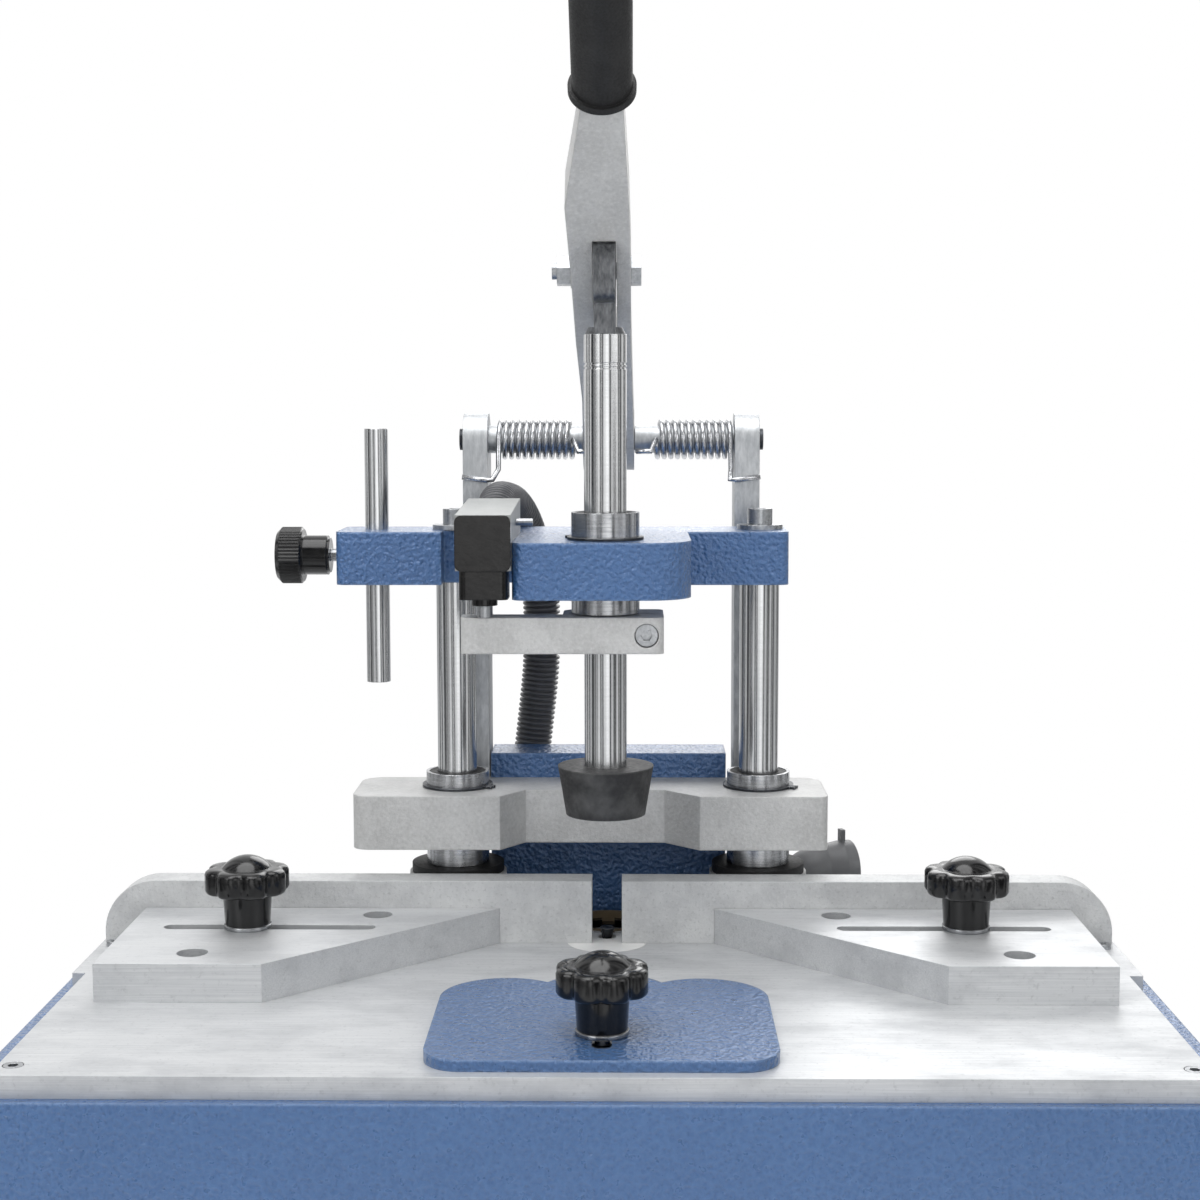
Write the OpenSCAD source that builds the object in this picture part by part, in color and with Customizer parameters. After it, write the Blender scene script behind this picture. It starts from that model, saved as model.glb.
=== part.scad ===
// Dovetail milling machine for the bench, worked by one hand lever.
// The origin lies on the bench, under the axis of the clamping shaft.
// X runs to the right, Y runs away from the operator and Z runs up.

/* [Base and table] */
// Width of the painted base
base_w = 646; // [640:1:700]
// Depth of the painted base
base_d = 420; // [400:1:480]
// Height of the painted base
base_h = 218; // [212:1:260]
// Wall thickness of the base
base_wall = 6; // [4:0.5:8]
// Corner radius of the base
base_corner_r = 22; // [12:1:40]
// Width of the inward flanges at the top and bottom of the base
base_flange_w = 34; // [28:1:40]
// Thickness of those flanges
base_flange_t = 8; // [5:0.5:12]
// Height of a rubber foot
foot_h = 20; // [12:1:40]
// Diameter of a rubber foot
foot_d = 44; // [36:1:50]
// Diameter of the bench bolt holes
bench_hole_d = 11; // [9:0.5:13]
// Distance from the base corners to the bench bolt holes
bench_hole_inset = 36; // [34:1:38]
// Width of the table beside the fence
table_w = 628; // [620:1:632]
// Width of the table in front of the step
table_front_w = 612; // [600:1:618]
// Distance from the fence face to the step in the table's sides
table_step_y = 68; // [60:1:90]
// Thickness of the table
table_t = 12; // [11:0.5:16]
// Diameter of the white insert disc
insert_d = 49; // [46:0.5:52]
// Thickness of the insert disc
insert_t = 3; // [2:0.25:3]
// How far the insert's centre lies behind the fence face
insert_back = 4; // [2:0.5:6]
// How far the insert reaches behind its own centre
insert_rear = 21; // [19.5:0.5:22]

/* [Fence] */
// Distance from the clamping shaft back to the fence face
fence_y = 44; // [44:0.5:48]
// Thickness of the fence
fence_t = 20; // [16:0.5:20]
// Height of the fence
fence_h = 39; // [36:0.5:41]
// Length from the middle of the machine to the end of the fence
fence_half = 312; // [306:1:316]
// Gap between the two halves of the fence
fence_gap = 18.6; // [16:0.2:22]
// Radius of the outer top corners of the fence
fence_end_r = 32; // [20:1:34]

/* [Mitre plates] */
// Thickness of a mitre plate
mitre_t = 22; // [16:0.5:24]
// Depth of a mitre plate from front to back
mitre_d = 125; // [115:1:135]
// Distance from the middle to the inner tip of a mitre plate
mitre_tip = 66.5; // [60:0.5:72]
// Distance from the middle to the outer edge of a mitre plate
mitre_outer = 286; // [278:1:292]
// Width of the adjusting slot
mitre_slot_w = 10.6; // [10.4:0.1:12]
// Length of the adjusting slot
mitre_slot_l = 127; // [124:1:132]
// Distance from the middle to the centre of the slot
mitre_slot_x = 201; // [199:0.5:203]
// Diameter of the two spare holes in a mitre plate
mitre_hole_d = 17.8; // [14:0.2:19]

/* [Star knobs] */
// Diameter over the lobes of a star knob
knob_d = 50; // [44:1:54]
// Height of a star knob over its washer
knob_h = 38.5; // [36:0.5:44]
// Diameter of a star knob's stud
knob_stud_d = 10; // [8:0.5:10]
// Distance from the middle to the side star knobs
knob_x = 214; // [210:1:218]

/* [Front support] */
// Distance from the clamping shaft forward to the front knob
front_knob_y = 152; // [148:1:156]
// Thickness of the front support
front_t = 6; // [4:0.5:8]

/* [Columns and bridges] */
// Diameter of the two columns
column_d = 25; // [24:0.5:26]
// Distance from the middle to a column
column_x = 96.5; // [94:0.5:98]
// Distance from the clamping shaft back to the columns
column_y = 97; // [97:0.5:99]
// Height of the top bridge over the table
bridge_z = 221; // [219:0.5:223]
// Thickness of the top bridge
bridge_t = 33; // [30:0.5:34]
// Outer diameter of a ball bushing
bushing_d = 40; // [38:0.5:42]
// Length of a ball bushing
bushing_l = 59; // [57:0.5:60]
// Top diameter of a column's cast boss
boss_d = 62; // [56:0.5:63]
// Height of a column's cast boss
boss_h = 34; // [30:0.5:35]
// Outer diameter of a rubber stop ring
ring_d = 59; // [54:0.5:60]
// Thickness of a rubber stop ring
ring_t = 5.7; // [5:0.1:6]

/* [Carriage] */
// Height of the carriage over the table at rest
carriage_z = 55; // [54:0.5:56]
// Thickness of the carriage
carriage_t = 34; // [32:0.5:34]
// Reach of the carriage to the left
carriage_left = 160; // [158:1:166]
// Reach of the carriage to the right
carriage_right = 138; // [132:1:142]
// Lift of the carriage from rest to the stop rod
lift = 67.5; // [60:0.5:67.5]
// Height of the lever axle over the table
axle_z = 310; // [306:1:312]
// Diameter of the lever axle
axle_d = 14; // [12:0.5:15]
// Inner face of the left spring arm
arm_left_x = 78; // [77:0.5:80]
// Inner face of the right spring arm
arm_right_x = 82; // [81:0.5:84]
// Thickness of a spring arm
arm_t = 16; // [14:0.5:17]
// Outer diameter of a torsion spring
spring_d = 26.5; // [25:0.5:27]
// Wire diameter of a torsion spring
spring_wire = 3.4; // [2.8:0.1:3.6]
// Turns of a torsion spring
spring_turns = 11; // [9:1:12]
// Pitch of a torsion spring
spring_pitch = 4.4; // [4.2:0.1:4.5]

/* [Clamp] */
// Diameter of the clamping shaft
shaft_d = 25; // [24:0.5:25]
// Height of the clamping shaft's top over the table
shaft_top = 373; // [370:0.5:375]
// Height of the foot's lower face over the table
foot_pad_z = 91; // [86:0.5:93]
// Travel of the clamping shaft
clamp_travel = 78; // [70:0.5:78]
// Height of the clevis pin over the table
pin_z = 410; // [406:0.5:412]
// Diameter of the clevis pin
pin_d = 10; // [9:0.5:10]

/* [Lever] */
// Length of the lever from its axle
lever_len = 430; // [400:5:460]
// Length of the rubber grip
grip_len = 120; // [100:5:130]

/* [Motor] */
// Diameter of the router motor
motor_d = 74; // [66:1:80]
// Length of the router motor below its neck
motor_len = 92; // [80:1:95]
// Diameter of the motor's neck
neck_d = 43; // [40:0.5:44]
// Largest diameter of the dovetail cutter
cutter_d = 9; // [7:0.5:10]
// Distance from the clamping shaft back to the cutter
cutter_y = 60; // [58:0.5:61]

/* [Hidden] */
$fn = 64;
overrun = 1;
seat_gap = 0.3;
run_gap = 0.05;
side_gap = 1;

// Table
table_top = foot_h + base_h + table_t;
fence_back = fence_y + fence_t;
insert_y = fence_y + insert_back;
insert_edge_y = insert_y + insert_rear;
well_half = 82;
well_reach = 66;
well_back = column_y + well_reach;
nut_clear_d = 23;
cutter_clear = 1.2;

// Carriage depths, measured from the columns
carriage_front = 37;
carriage_rear = 28;
recess_front = 15;
bracket_d = 35;
bracket_wall = 14;
bracket_half = 77;
bracket_top = 16;
bracket_low_half = 46;
back_y = column_y + carriage_rear;

// Bushings
ring_groove = 1.75;
circlip_over = 5;
bushing_seal = 2;
hub_bushing_z = 211;

// Fasteners
m10_head_d = 16;
m10_head_h = 10;
m10_d = 10;
m10_socket = 8;
m8_head_d = 13;
m8_head_h = 8;
m8_socket = 6;
m6_head_d = 10;
m6_d = 5;
m6_head_h = 6;
m6_socket = 5;
m5_head_d = 8.5;
m5_d = 4.25;
m5_head_h = 3;
socket_depth_share = 0.55;
washer_t = 3;
washer_d = 29;
hex_sides = 6;

// Clamp arm and foot
clamp_arm_t = 21;
clamp_arm_left = 83.5;
clamp_arm_right = 34;
clamp_arm_d = 50;
clamp_arm_gap = 0.7;
clamp_arm_z = hub_bushing_z - clamp_arm_gap - clamp_arm_t;
clamp_slit = 2;
clamp_screw_x = 24;
clamp_screw_seat = 6;
foot_top_d = 56.7;
foot_low_d = 47;
foot_rubber_h = 29;
foot_seat = 21;
foot_top = foot_pad_z + foot_rubber_h;
shaft_groove_z = 353;
shaft_groove_h = 1.2;
shaft_groove_depth = 0.7;

// Lever geometry
axle_back = 45;
axle_y = column_y + axle_back;
pin_rest_y = 8;
pin_reach = axle_y - pin_rest_y;
pin_rise = pin_z - axle_z;
pin_radius = sqrt(pin_reach * pin_reach + pin_rise * pin_rise);
lever_angle = atan2(pin_rise, pin_reach);
end_sine = sin(lever_angle) - (lift + clamp_travel) / pin_radius;
lever_swing = lever_angle - asin(end_sine);
mid_angle = lever_angle - lever_swing / 2;
mid_sine = (sin(lever_angle) + end_sine) / 2;
pin_play = (sin(mid_angle) - mid_sine) * pin_radius;
echo(lever_angle = lever_angle, lever_swing = lever_swing, pin_play = pin_play);

// Lug on the clamping shaft
lug_t = 12.4;
lug_wall = 8;
lug_low_wall = 14;
lug_front = pin_radius - axle_y + pin_d / 2 + side_gap + lug_wall;
lug_rear = pin_rest_y + pin_d / 2 + side_gap + lug_wall;
slot_front = lug_front - lug_wall;
slot_rear = lug_rear - lug_wall;
slot_low = pin_z - pin_d / 2 - seat_gap;
slot_spare = 1.5;
slot_high = pin_z + pin_d / 2 + pin_play + slot_spare;
lug_low = slot_low - lug_low_wall;
lug_high = slot_high + lug_wall;
lug_nose_r = 16;
lug_neck_d = 24;
weld_d = 24;
weld_h = 4;
fork_gap = 13.4;
lever_side = 15;
hub_left = 16;
hub_right = 17;
hub_r = 20;
lever_hole_clear = 0.05;

// Router motor, measured down from the table top
nut_drop = 4.5;
nut_top = -nut_drop - lift;
nut_h = 20;
nut_d = 20;
spindle_d = 15;
spindle_h = 6;
neck_top = nut_top - nut_h - spindle_h;
neck_h = 34;
clamp_ring_wall = 10;
cutter_tip_z = 6;
cutter_tip_h = 9;
cutter_neck_d = 5;
shank_d = 8;

// Helpers

// Rounded rectangle about the origin
module round_rect(w, d, r) {
  square([w - 2 * r, d], center = true);
  square([w, d - 2 * r], center = true);
  for (sx = [-1, 1], sy = [-1, 1])
    translate([sx * (w / 2 - r), sy * (d / 2 - r)]) circle(r);
}

// Long hole along X about the origin
module long_hole(l, w) {
  square([l - w, w], center = true);
  for (s = [-1, 1]) translate([s * (l - w) / 2, 0]) circle(d = w);
}

// Square corner waste that leaves a round corner of radius r at the origin, material at -x -y
module corner_waste(r) {
  difference() {
    translate([-r, -r]) square(r + overrun);
    translate([-r, -r]) circle(r);
  }
}

// Everything that is measured from the table top
module on_table() { translate([0, 0, table_top]) children(); }

// Hexagon bar of a given width across flats
module hex_bar(af, h) { cylinder(d = af / cos(180 / hex_sides), h = h, $fn = hex_sides); }

// Socket head cap screw whose head sits on z = 0 and whose shank points down
module cap_screw(head_d, head_h, d, l, af) {
  difference() {
    cylinder(d = head_d, h = head_h);
    translate([0, 0, head_h * (1 - socket_depth_share)]) hex_bar(af, head_h);
  }
  translate([0, 0, -l]) cylinder(d = d, h = l);
}

// Ring about Z
module ring(od, id, h) {
  difference() {
    cylinder(d = od, h = h);
    translate([0, 0, -overrun]) cylinder(d = id, h = h + 2 * overrun);
  }
}

// Triangle mesh tube through rings of points, closed by a fan at both ends
module ring_tube(rings) {
  n = len(rings[0]);
  m = len(rings);
  points = [for (r = rings) for (p = r) p];
  sides = [
    for (i = [0:m - 2]) for (j = [0:n - 1])
      let (a = i * n + j, b = i * n + (j + 1) % n)
      for (t = [[a, b, b + n], [a, b + n, a + n]]) t
  ];
  cap_a = [for (j = [1:n - 2]) [0, j + 1, j]];
  cap_b = [for (j = [1:n - 2]) let (o = (m - 1) * n) [o, o + j, o + j + 1]];
  polyhedron(points, concat(sides, cap_a, cap_b));
}

function unit(v) = v / norm(v);

// Ring of n points about p, in the plane square to the tangent t and turned to the side s
function ring_at(p, t, s, r, n) =
  let (u = unit(s - (s * t) * t), w = cross(t, u))
  [for (j = [0:n - 1]) p + r * (cos(360 * j / n) * u + sin(360 * j / n) * w)];

// Base and table

bench_x = base_w / 2 - bench_hole_inset;
bench_y = base_d / 2 - bench_hole_inset;
cover_w = 240;
cover_h = 150;
cover_lip = 14;
cover_t = 2.5;

module base_outline(inset) { round_rect(base_w - 2 * inset, base_d - 2 * inset, base_corner_r - inset); }

module base_ring(inset_out, inset_in, z, h) {
  translate([0, 0, z])
    linear_extrude(h)
      difference() {
        base_outline(inset_out);
        square([base_w - 2 * inset_in, base_d - 2 * inset_in], center = true);
      }
}

module base_shell() {
  color("steelblue")
    difference() {
      union() {
        translate([0, 0, foot_h])
          linear_extrude(base_h)
            difference() {
              base_outline(0);
              base_outline(base_wall);
            }
        base_ring(base_wall / 2, base_flange_w, foot_h, base_flange_t);
        base_ring(base_wall / 2, base_flange_w, foot_h + base_h - base_flange_t, base_flange_t);
      }
      for (sx = [-1, 1], sy = [-1, 1])
        translate([sx * bench_x, sy * bench_y, foot_h - overrun])
          cylinder(d = bench_hole_d, h = base_flange_t + 2 * overrun);
      translate([-(cover_w / 2 - cover_lip), base_d / 2 - base_wall - overrun, foot_h + base_h / 2 - cover_h / 2 + cover_lip])
        cube([cover_w - 2 * cover_lip, base_wall + 2 * overrun, cover_h - 2 * cover_lip]);
    }
}

module rear_cover() {
  color("steelblue")
    translate([0, base_d / 2 + cover_t, foot_h + base_h / 2])
      rotate([90, 0, 0])
        linear_extrude(cover_t)
          difference() {
            round_rect(cover_w, cover_h, cover_lip / 2);
            for (sx = [-1, 1], sy = [-1, 1])
              translate([sx * (cover_w - cover_lip) / 2, sy * (cover_h - cover_lip) / 2]) circle(d = m5_d);
          }
}

module base_feet() {
  color([0.1, 0.1, 0.1])
    for (sx = [-1, 1], sy = [-1, 1])
      translate([sx * bench_x, sy * bench_y, 0])
        difference() {
          union() {
            cylinder(d1 = foot_d - foot_h / 4, d2 = foot_d, h = foot_h / 2);
            translate([0, 0, foot_h / 2]) cylinder(d = foot_d, h = foot_h / 2);
          }
          translate([0, 0, -overrun]) cylinder(d = bench_hole_d, h = foot_h + 2 * overrun);
        }
}

table_back_inset = 6;
table_screw_in = 16;
table_screw_back = 22;
table_screw_x = table_w / 2 - table_screw_in;
table_screw_y = base_d / 2 - table_screw_back;
spout_x = 126;
spout_inset = 44;
spout_y = base_d / 2 - table_back_inset - spout_inset;
spout_d = 33;
spout_wall = 3;

module table_outline() {
  back = base_d / 2 - table_back_inset;
  step = fence_y - table_step_y;
  translate([-table_w / 2, step]) square([table_w, back - step]);
  translate([-table_front_w / 2, -back]) square([table_front_w, back + step]);
}

module well_outline() {
  translate([-well_half, back_y - 2 * side_gap]) square([2 * well_half, well_back - back_y + 2 * side_gap]);
  translate([0, chip_y]) circle(d = chip_ring_d);
}

module table_plate() {
  color("gainsboro")
    on_table()
      difference() {
        translate([0, 0, -table_t]) linear_extrude(table_t) table_outline();
        translate([0, 0, -table_t - overrun]) linear_extrude(table_t + 2 * overrun) well_outline();
        translate([0, cutter_y, -table_t - overrun]) cylinder(d = nut_clear_d, h = table_t + 2 * overrun);
        translate([0, insert_y, -insert_t]) cylinder(d = insert_d + 2 * seat_gap, h = insert_t + overrun);
        for (s = [-1, 1])
          translate([s * knob_x, slot_y, -table_t - overrun])
            cylinder(d = knob_stud_d + 2 * run_gap, h = table_t + 2 * overrun);
        translate([0, -front_knob_y, -table_t - overrun])
          cylinder(d = knob_stud_d + 2 * run_gap, h = table_t + 2 * overrun);
        translate([spout_x, spout_y, -table_t - overrun]) cylinder(d = spout_d, h = table_t + 2 * overrun);
        for (s = [-1, 1])
          translate([s * column_x, column_y, -table_t - overrun])
            cylinder(d = column_d, h = table_t + 2 * overrun);
        for (sx = [-1, 1], sy = [-1, 1])
          translate([sx * table_screw_x, sy * table_screw_y, -table_t - overrun]) {
            cylinder(d = m6_d, h = table_t + 2 * overrun);
            translate([0, 0, table_t + overrun - m6_head_h]) cylinder(d = m6_head_d + side_gap, h = m6_head_h + overrun);
          }
        for (s = [-1, 1])
          translate([s * (fence_half - fence_screw_inset), fence_y - m5_head_d, side_gap - table_t])
            cylinder(d = m5_d, h = table_t);
      }
}

module table_screws() {
  color("silver")
    on_table()
      for (sx = [-1, 1], sy = [-1, 1])
        translate([sx * table_screw_x, sy * table_screw_y, -m6_head_h])
          cap_screw(m6_head_d, m6_head_h, m6_d, table_t - m6_head_h, m6_socket);
}

module table_insert() {
  color("white")
    on_table()
      translate([0, insert_y, -insert_t])
        difference() {
          cylinder(d = insert_d, h = insert_t);
          translate([-insert_d, insert_rear, -overrun]) cube([2 * insert_d, insert_d, insert_t + 2 * overrun]);
          translate([0, cutter_y - insert_y, -overrun])
            cylinder(d = cutter_d + 2 * cutter_clear, h = insert_t + 2 * overrun);
        }
}

// Ring and cup that line the well behind the insert
chip_ring_d = 50;
chip_ring_w = 2.5;
chip_ring_h = 9;
chip_back = 3;
chip_y = back_y - chip_back - chip_ring_d / 2;
chip_gap = 2;
chip_cup_wall = 5;
chip_rise = 1;
chip_slot = 8;

module chip_ring() {
  color("tan")
    on_table()
      translate([0, chip_y, chip_rise - chip_ring_h]) ring(chip_ring_d, chip_ring_d - 2 * chip_ring_w, chip_ring_h);
}

module chip_cup() {
  cup_d = chip_ring_d - 2 * chip_ring_w;
  color("dimgray")
    on_table()
      translate([0, chip_y, chip_rise - chip_ring_h])
        difference() {
          union() {
            ring(cup_d - 2 * chip_gap, cup_d - 2 * chip_gap - 2 * chip_cup_wall, chip_ring_h - 2 * chip_gap);
            ring(cup_d, cup_d - 2 * chip_gap - 2 * chip_cup_wall, chip_gap);
          }
          translate([-chip_slot / 2, 0, chip_gap]) cube([chip_slot, chip_ring_d, chip_ring_h]);
        }
}

// Fence

module fence_half_solid() {
  on_table()
    translate([0, fence_back, 0])
      rotate([90, 0, 0])
        linear_extrude(fence_t)
          difference() {
            translate([fence_gap / 2, 0]) square([fence_half - fence_gap / 2, fence_h]);
            translate([fence_half, fence_h]) corner_waste(fence_end_r);
          }
}

fence_screw_inset = 7;

module fence_right() { color("silver") fence_half_solid(); }

module fence_left() { color("silver") mirror([1, 0, 0]) fence_half_solid(); }

module fence_screws() {
  color("silver")
    on_table()
      for (s = [-1, 1])
        translate([s * (fence_half - fence_screw_inset), fence_y - m5_head_d, 0])
          cap_screw(m5_head_d, m5_head_h, m5_d, table_t - side_gap, m5_head_h);
}

// Columns, bridge and stops, all carried by the base

rod_x = 146.4;
rod_d = 15;
rod_low = carriage_z + carriage_t + lift + run_gap * 2;
rod_len = 161;
bridge_left = 169;
bridge_right = 113;
bridge_front_d = 30;
bridge_back_d = 27.5;
hub_left_x = 53.5;
hub_right_x = 50;
hub_front = 33;
hub_right_r = 26;
hub_left_r = 8;
bridge_corner_r = 6;
recess_left = 103;
recess_y = 17;
column_screw_l = 20;
stud_d = 8;
stop_hub_d = 25;
stop_hub_l = 17;
stop_head_d = 36;
stop_head_l = 16.5;
stop_shank_l = 7;
knurl_teeth = 48;
knurl_depth = 0.8;

module column_bosses() {
  color("lightgray")
    on_table()
      for (s = [-1, 1])
        translate([s * column_x, column_y, 0])
          difference() {
            cylinder(d1 = boss_d + 4 * side_gap, d2 = boss_d, h = boss_h);
            translate([0, 0, -overrun]) cylinder(d = column_d, h = boss_h + 2 * overrun);
          }
}

module column_solid() {
  on_table()
    translate([column_x, column_y, 0])
      difference() {
        translate([0, 0, -table_t]) cylinder(d = column_d, h = table_t + bridge_z + bridge_t);
        translate([0, 0, bridge_z + bridge_t - column_screw_l]) cylinder(d = m10_d, h = column_screw_l + overrun);
      }
}

module column_right() { color("silver") column_solid(); }

module column_left() { color("silver") mirror([1, 0, 0]) column_solid(); }

module stop_rings() {
  color([0.12, 0.12, 0.12])
    on_table()
      for (s = [-1, 1]) translate([s * column_x, column_y, boss_h]) ring(ring_d, column_d, ring_t);
}

module bridge_outline() {
  low = column_y - bridge_front_d;
  high = column_y + bridge_back_d;
  difference() {
    union() {
      translate([-bridge_left, low]) square([bridge_left + bridge_right, high - low]);
      translate([-hub_left_x, -hub_front]) square([hub_left_x + hub_right_x, hub_front + high]);
    }
    translate([-recess_left, low - overrun]) square([recess_left - hub_left_x, recess_y + overrun]);
    translate([hub_right_x, -hub_front]) rotate(-90) corner_waste(hub_right_r);
    translate([-hub_left_x, -hub_front]) rotate(180) corner_waste(hub_left_r);
    translate([bridge_right, high]) corner_waste(bridge_corner_r);
    translate([bridge_right, low]) rotate(-90) corner_waste(bridge_corner_r);
    translate([-bridge_left, high]) rotate(90) corner_waste(bridge_corner_r);
    translate([-bridge_left, low]) rotate(180) corner_waste(bridge_corner_r);
  }
}

module top_bridge() {
  color("steelblue")
    on_table()
      difference() {
        translate([0, 0, bridge_z]) linear_extrude(bridge_t) bridge_outline();
        translate([0, 0, bridge_z - overrun]) cylinder(d = bushing_d, h = bridge_t + 2 * overrun);
        for (s = [-1, 1])
          translate([s * column_x, column_y, bridge_z - overrun]) cylinder(d = column_d, h = bridge_t + 2 * overrun);
        translate([-rod_x, column_y, bridge_z - overrun])
          cylinder(d = rod_d + 2 * run_gap, h = bridge_t + 2 * overrun);
        translate([-bridge_left - overrun, column_y, bridge_z + bridge_t / 2])
          rotate([0, 90, 0]) cylinder(d = stud_d + 2 * run_gap, h = bridge_left - rod_x + overrun);
        for (z = switch_screw_zs)
          translate([-hub_left_x - overrun, switch_screw_y, z])
            rotate([0, 90, 0]) cylinder(d = m5_d, h = switch_screw_l + overrun);
      }
}

// Ball bushing: steel shell, circlip groove and stepped mouths
module bushing_shell(shaft) {
  difference() {
    cylinder(d = bushing_d, h = bushing_l);
    translate([0, 0, -overrun]) cylinder(d = shaft + 2 * run_gap, h = bushing_l + 2 * overrun);
    for (z = [-overrun, bushing_l - bushing_seal])
      translate([0, 0, z]) cylinder(d = bushing_d - 2 * bushing_seal, h = bushing_seal + overrun);
  }
}

module bushing_seal_pair(shaft) {
  for (z = [0, bushing_l - bushing_seal])
    translate([0, 0, z])
      ring(bushing_d - 2 * bushing_seal, shaft + 2 * seat_gap, bushing_seal - seat_gap);
}

module circlip() {
  lug = 6;
  difference() {
    union() {
      cylinder(d = bushing_d + circlip_over, h = ring_groove);
      translate([0, -lug / 2, 0]) cube([bushing_d / 2 + lug, lug, ring_groove]);
    }
    translate([0, 0, -overrun]) cylinder(d = bushing_d, h = ring_groove + 2 * overrun);
    translate([0, -side_gap, -overrun]) cube([bushing_d, 2 * side_gap, ring_groove + 2 * overrun]);
  }
}

module hub_bushing() { color("silver") on_table() translate([0, 0, hub_bushing_z]) bushing_shell(shaft_d); }

module hub_seals() { color([0.1, 0.1, 0.1]) on_table() translate([0, 0, hub_bushing_z]) bushing_seal_pair(shaft_d); }

module hub_circlip() {
  color([0.2, 0.2, 0.2]) on_table() translate([0, 0, bridge_z + bridge_t]) rotate(150) circlip();
}

module column_washers() {
  color("silver")
    on_table()
      for (s = [-1, 1]) translate([s * column_x, column_y, bridge_z + bridge_t]) ring(washer_d, m10_d, washer_t);
}

module column_cap_screws() {
  color("silver")
    on_table()
      for (s = [-1, 1])
        translate([s * column_x, column_y, bridge_z + bridge_t + washer_t])
          cap_screw(m10_head_d, m10_head_h, m10_d, washer_t + column_screw_l, m10_socket);
}

module stop_rod() {
  color("silver") on_table() translate([-rod_x, column_y, rod_low]) cylinder(d = rod_d, h = rod_len);
}

module knurl_outline(d, teeth, depth) {
  step = 360 / (2 * teeth);
  polygon([for (i = [0:2 * teeth - 1]) (d / 2 - (i % 2) * depth) * [cos(i * step), sin(i * step)]]);
}

module stop_knob() {
  tip = rod_x + rod_d / 2 + seat_gap;
  chamfer = 1.5;
  color([0.12, 0.12, 0.12])
    on_table()
      translate([-tip, column_y, bridge_z + bridge_t / 2])
        rotate([0, -90, 0]) {
          cylinder(d = stud_d, h = bridge_left - tip + stop_shank_l);
          translate([0, 0, bridge_left - tip + stop_shank_l]) {
            cylinder(d = stop_hub_d - 2 * chamfer, h = stop_hub_l);
            translate([0, 0, chamfer]) cylinder(d = stop_hub_d, h = stop_hub_l - chamfer);
            translate([0, 0, stop_hub_l])
              intersection() {
                linear_extrude(stop_head_l) knurl_outline(stop_head_d, knurl_teeth, knurl_depth);
                union() {
                  cylinder(d1 = stop_head_d - 2 * chamfer, d2 = stop_head_d, h = chamfer);
                  translate([0, 0, chamfer]) cylinder(d = stop_head_d, h = stop_head_l - 3 * chamfer);
                  translate([0, 0, stop_head_l - 2 * chamfer])
                    cylinder(d1 = stop_head_d, d2 = stop_head_d - 4 * chamfer, h = 2 * chamfer);
                }
              }
          }
        }
}

// Limit switch on the left of the hub

switch_w = 32;
switch_low = 238;
switch_front_h = 32;
switch_rear_h = 37;
switch_front = 33;
switch_rear = 65;
switch_cover_t = 4;
gland_d = 14.5;
gland_l = 5;
gland_z = 262.6;
switch_cover_r = 4;
switch_head_h = 16.5;
switch_head_w = 28;
switch_head_d = 25;
switch_neck_d = 15;
switch_neck_h = 4;
plunger_d = 9.5;
plunger_travel = 4;
plunger_in = 8;
switch_screw_y = 20;
switch_screw_l = 10;
switch_screw_low = 7;
switch_screw_high = 25;
switch_screw_zs = [switch_low + switch_screw_low, switch_low + switch_screw_high];
switch_x = hub_left_x + switch_w / 2;
plunger_x = hub_left_x + switch_w / 2;
head_low = switch_low - switch_head_h;
head_y = switch_head_d / 2 - switch_front - switch_cover_t / 2;
plunger_low = clamp_arm_z + clamp_arm_t + seat_gap;

module switch_body() {
  color("lightgray")
    on_table()
      translate([-hub_left_x - switch_w, 0, 0])
        rotate([90, 0, 90])
          difference() {
            linear_extrude(switch_w)
              polygon([
                [-switch_front, switch_low], [switch_rear, switch_low],
                [switch_rear, switch_low + switch_rear_h], [-switch_front, switch_low + switch_front_h]
              ]);
            for (z = switch_screw_zs)
              translate([switch_screw_y, z, -overrun]) cylinder(d = m5_d, h = switch_w + 2 * overrun);
          }
  color("lightgray")
    on_table()
      translate([-switch_x, switch_rear - overrun, gland_z])
        rotate([-90, 0, 0]) cylinder(d = gland_d, h = gland_l + overrun);
}

module switch_cover() {
  color([0.1, 0.1, 0.1])
    on_table()
      translate([-switch_x, -switch_front, switch_low + switch_front_h / 2])
        rotate([90, 0, 0]) linear_extrude(switch_cover_t) round_rect(switch_w, switch_front_h, switch_cover_r);
}

module switch_head() {
  color([0.14, 0.14, 0.14])
    on_table()
      translate([-plunger_x, head_y, 0])
        difference() {
          union() {
            translate([0, 0, head_low]) linear_extrude(switch_head_h) round_rect(switch_head_w, switch_head_d, switch_cover_r);
            translate([0, 0, head_low - switch_neck_h]) cylinder(d = switch_neck_d, h = switch_neck_h);
          }
          translate([0, 0, head_low - switch_neck_h - overrun])
            cylinder(d = plunger_d + 2 * run_gap, h = switch_neck_h + plunger_in + overrun);
        }
}

module switch_plunger() {
  color("silver")
    on_table()
      translate([-plunger_x, head_y, plunger_low])
        cylinder(d = plunger_d, h = head_low + plunger_in - seat_gap - plunger_low);
}

module switch_screws() {
  color("silver")
    on_table()
      for (z = switch_screw_zs)
        translate([-hub_left_x - switch_w, switch_screw_y, z])
          rotate([0, -90, 0]) cap_screw(m5_head_d, m5_head_h, m5_d, switch_w + switch_screw_l, m5_head_h);
}

// Corrugated conduit from the switch over the bridge and down to the table

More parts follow.
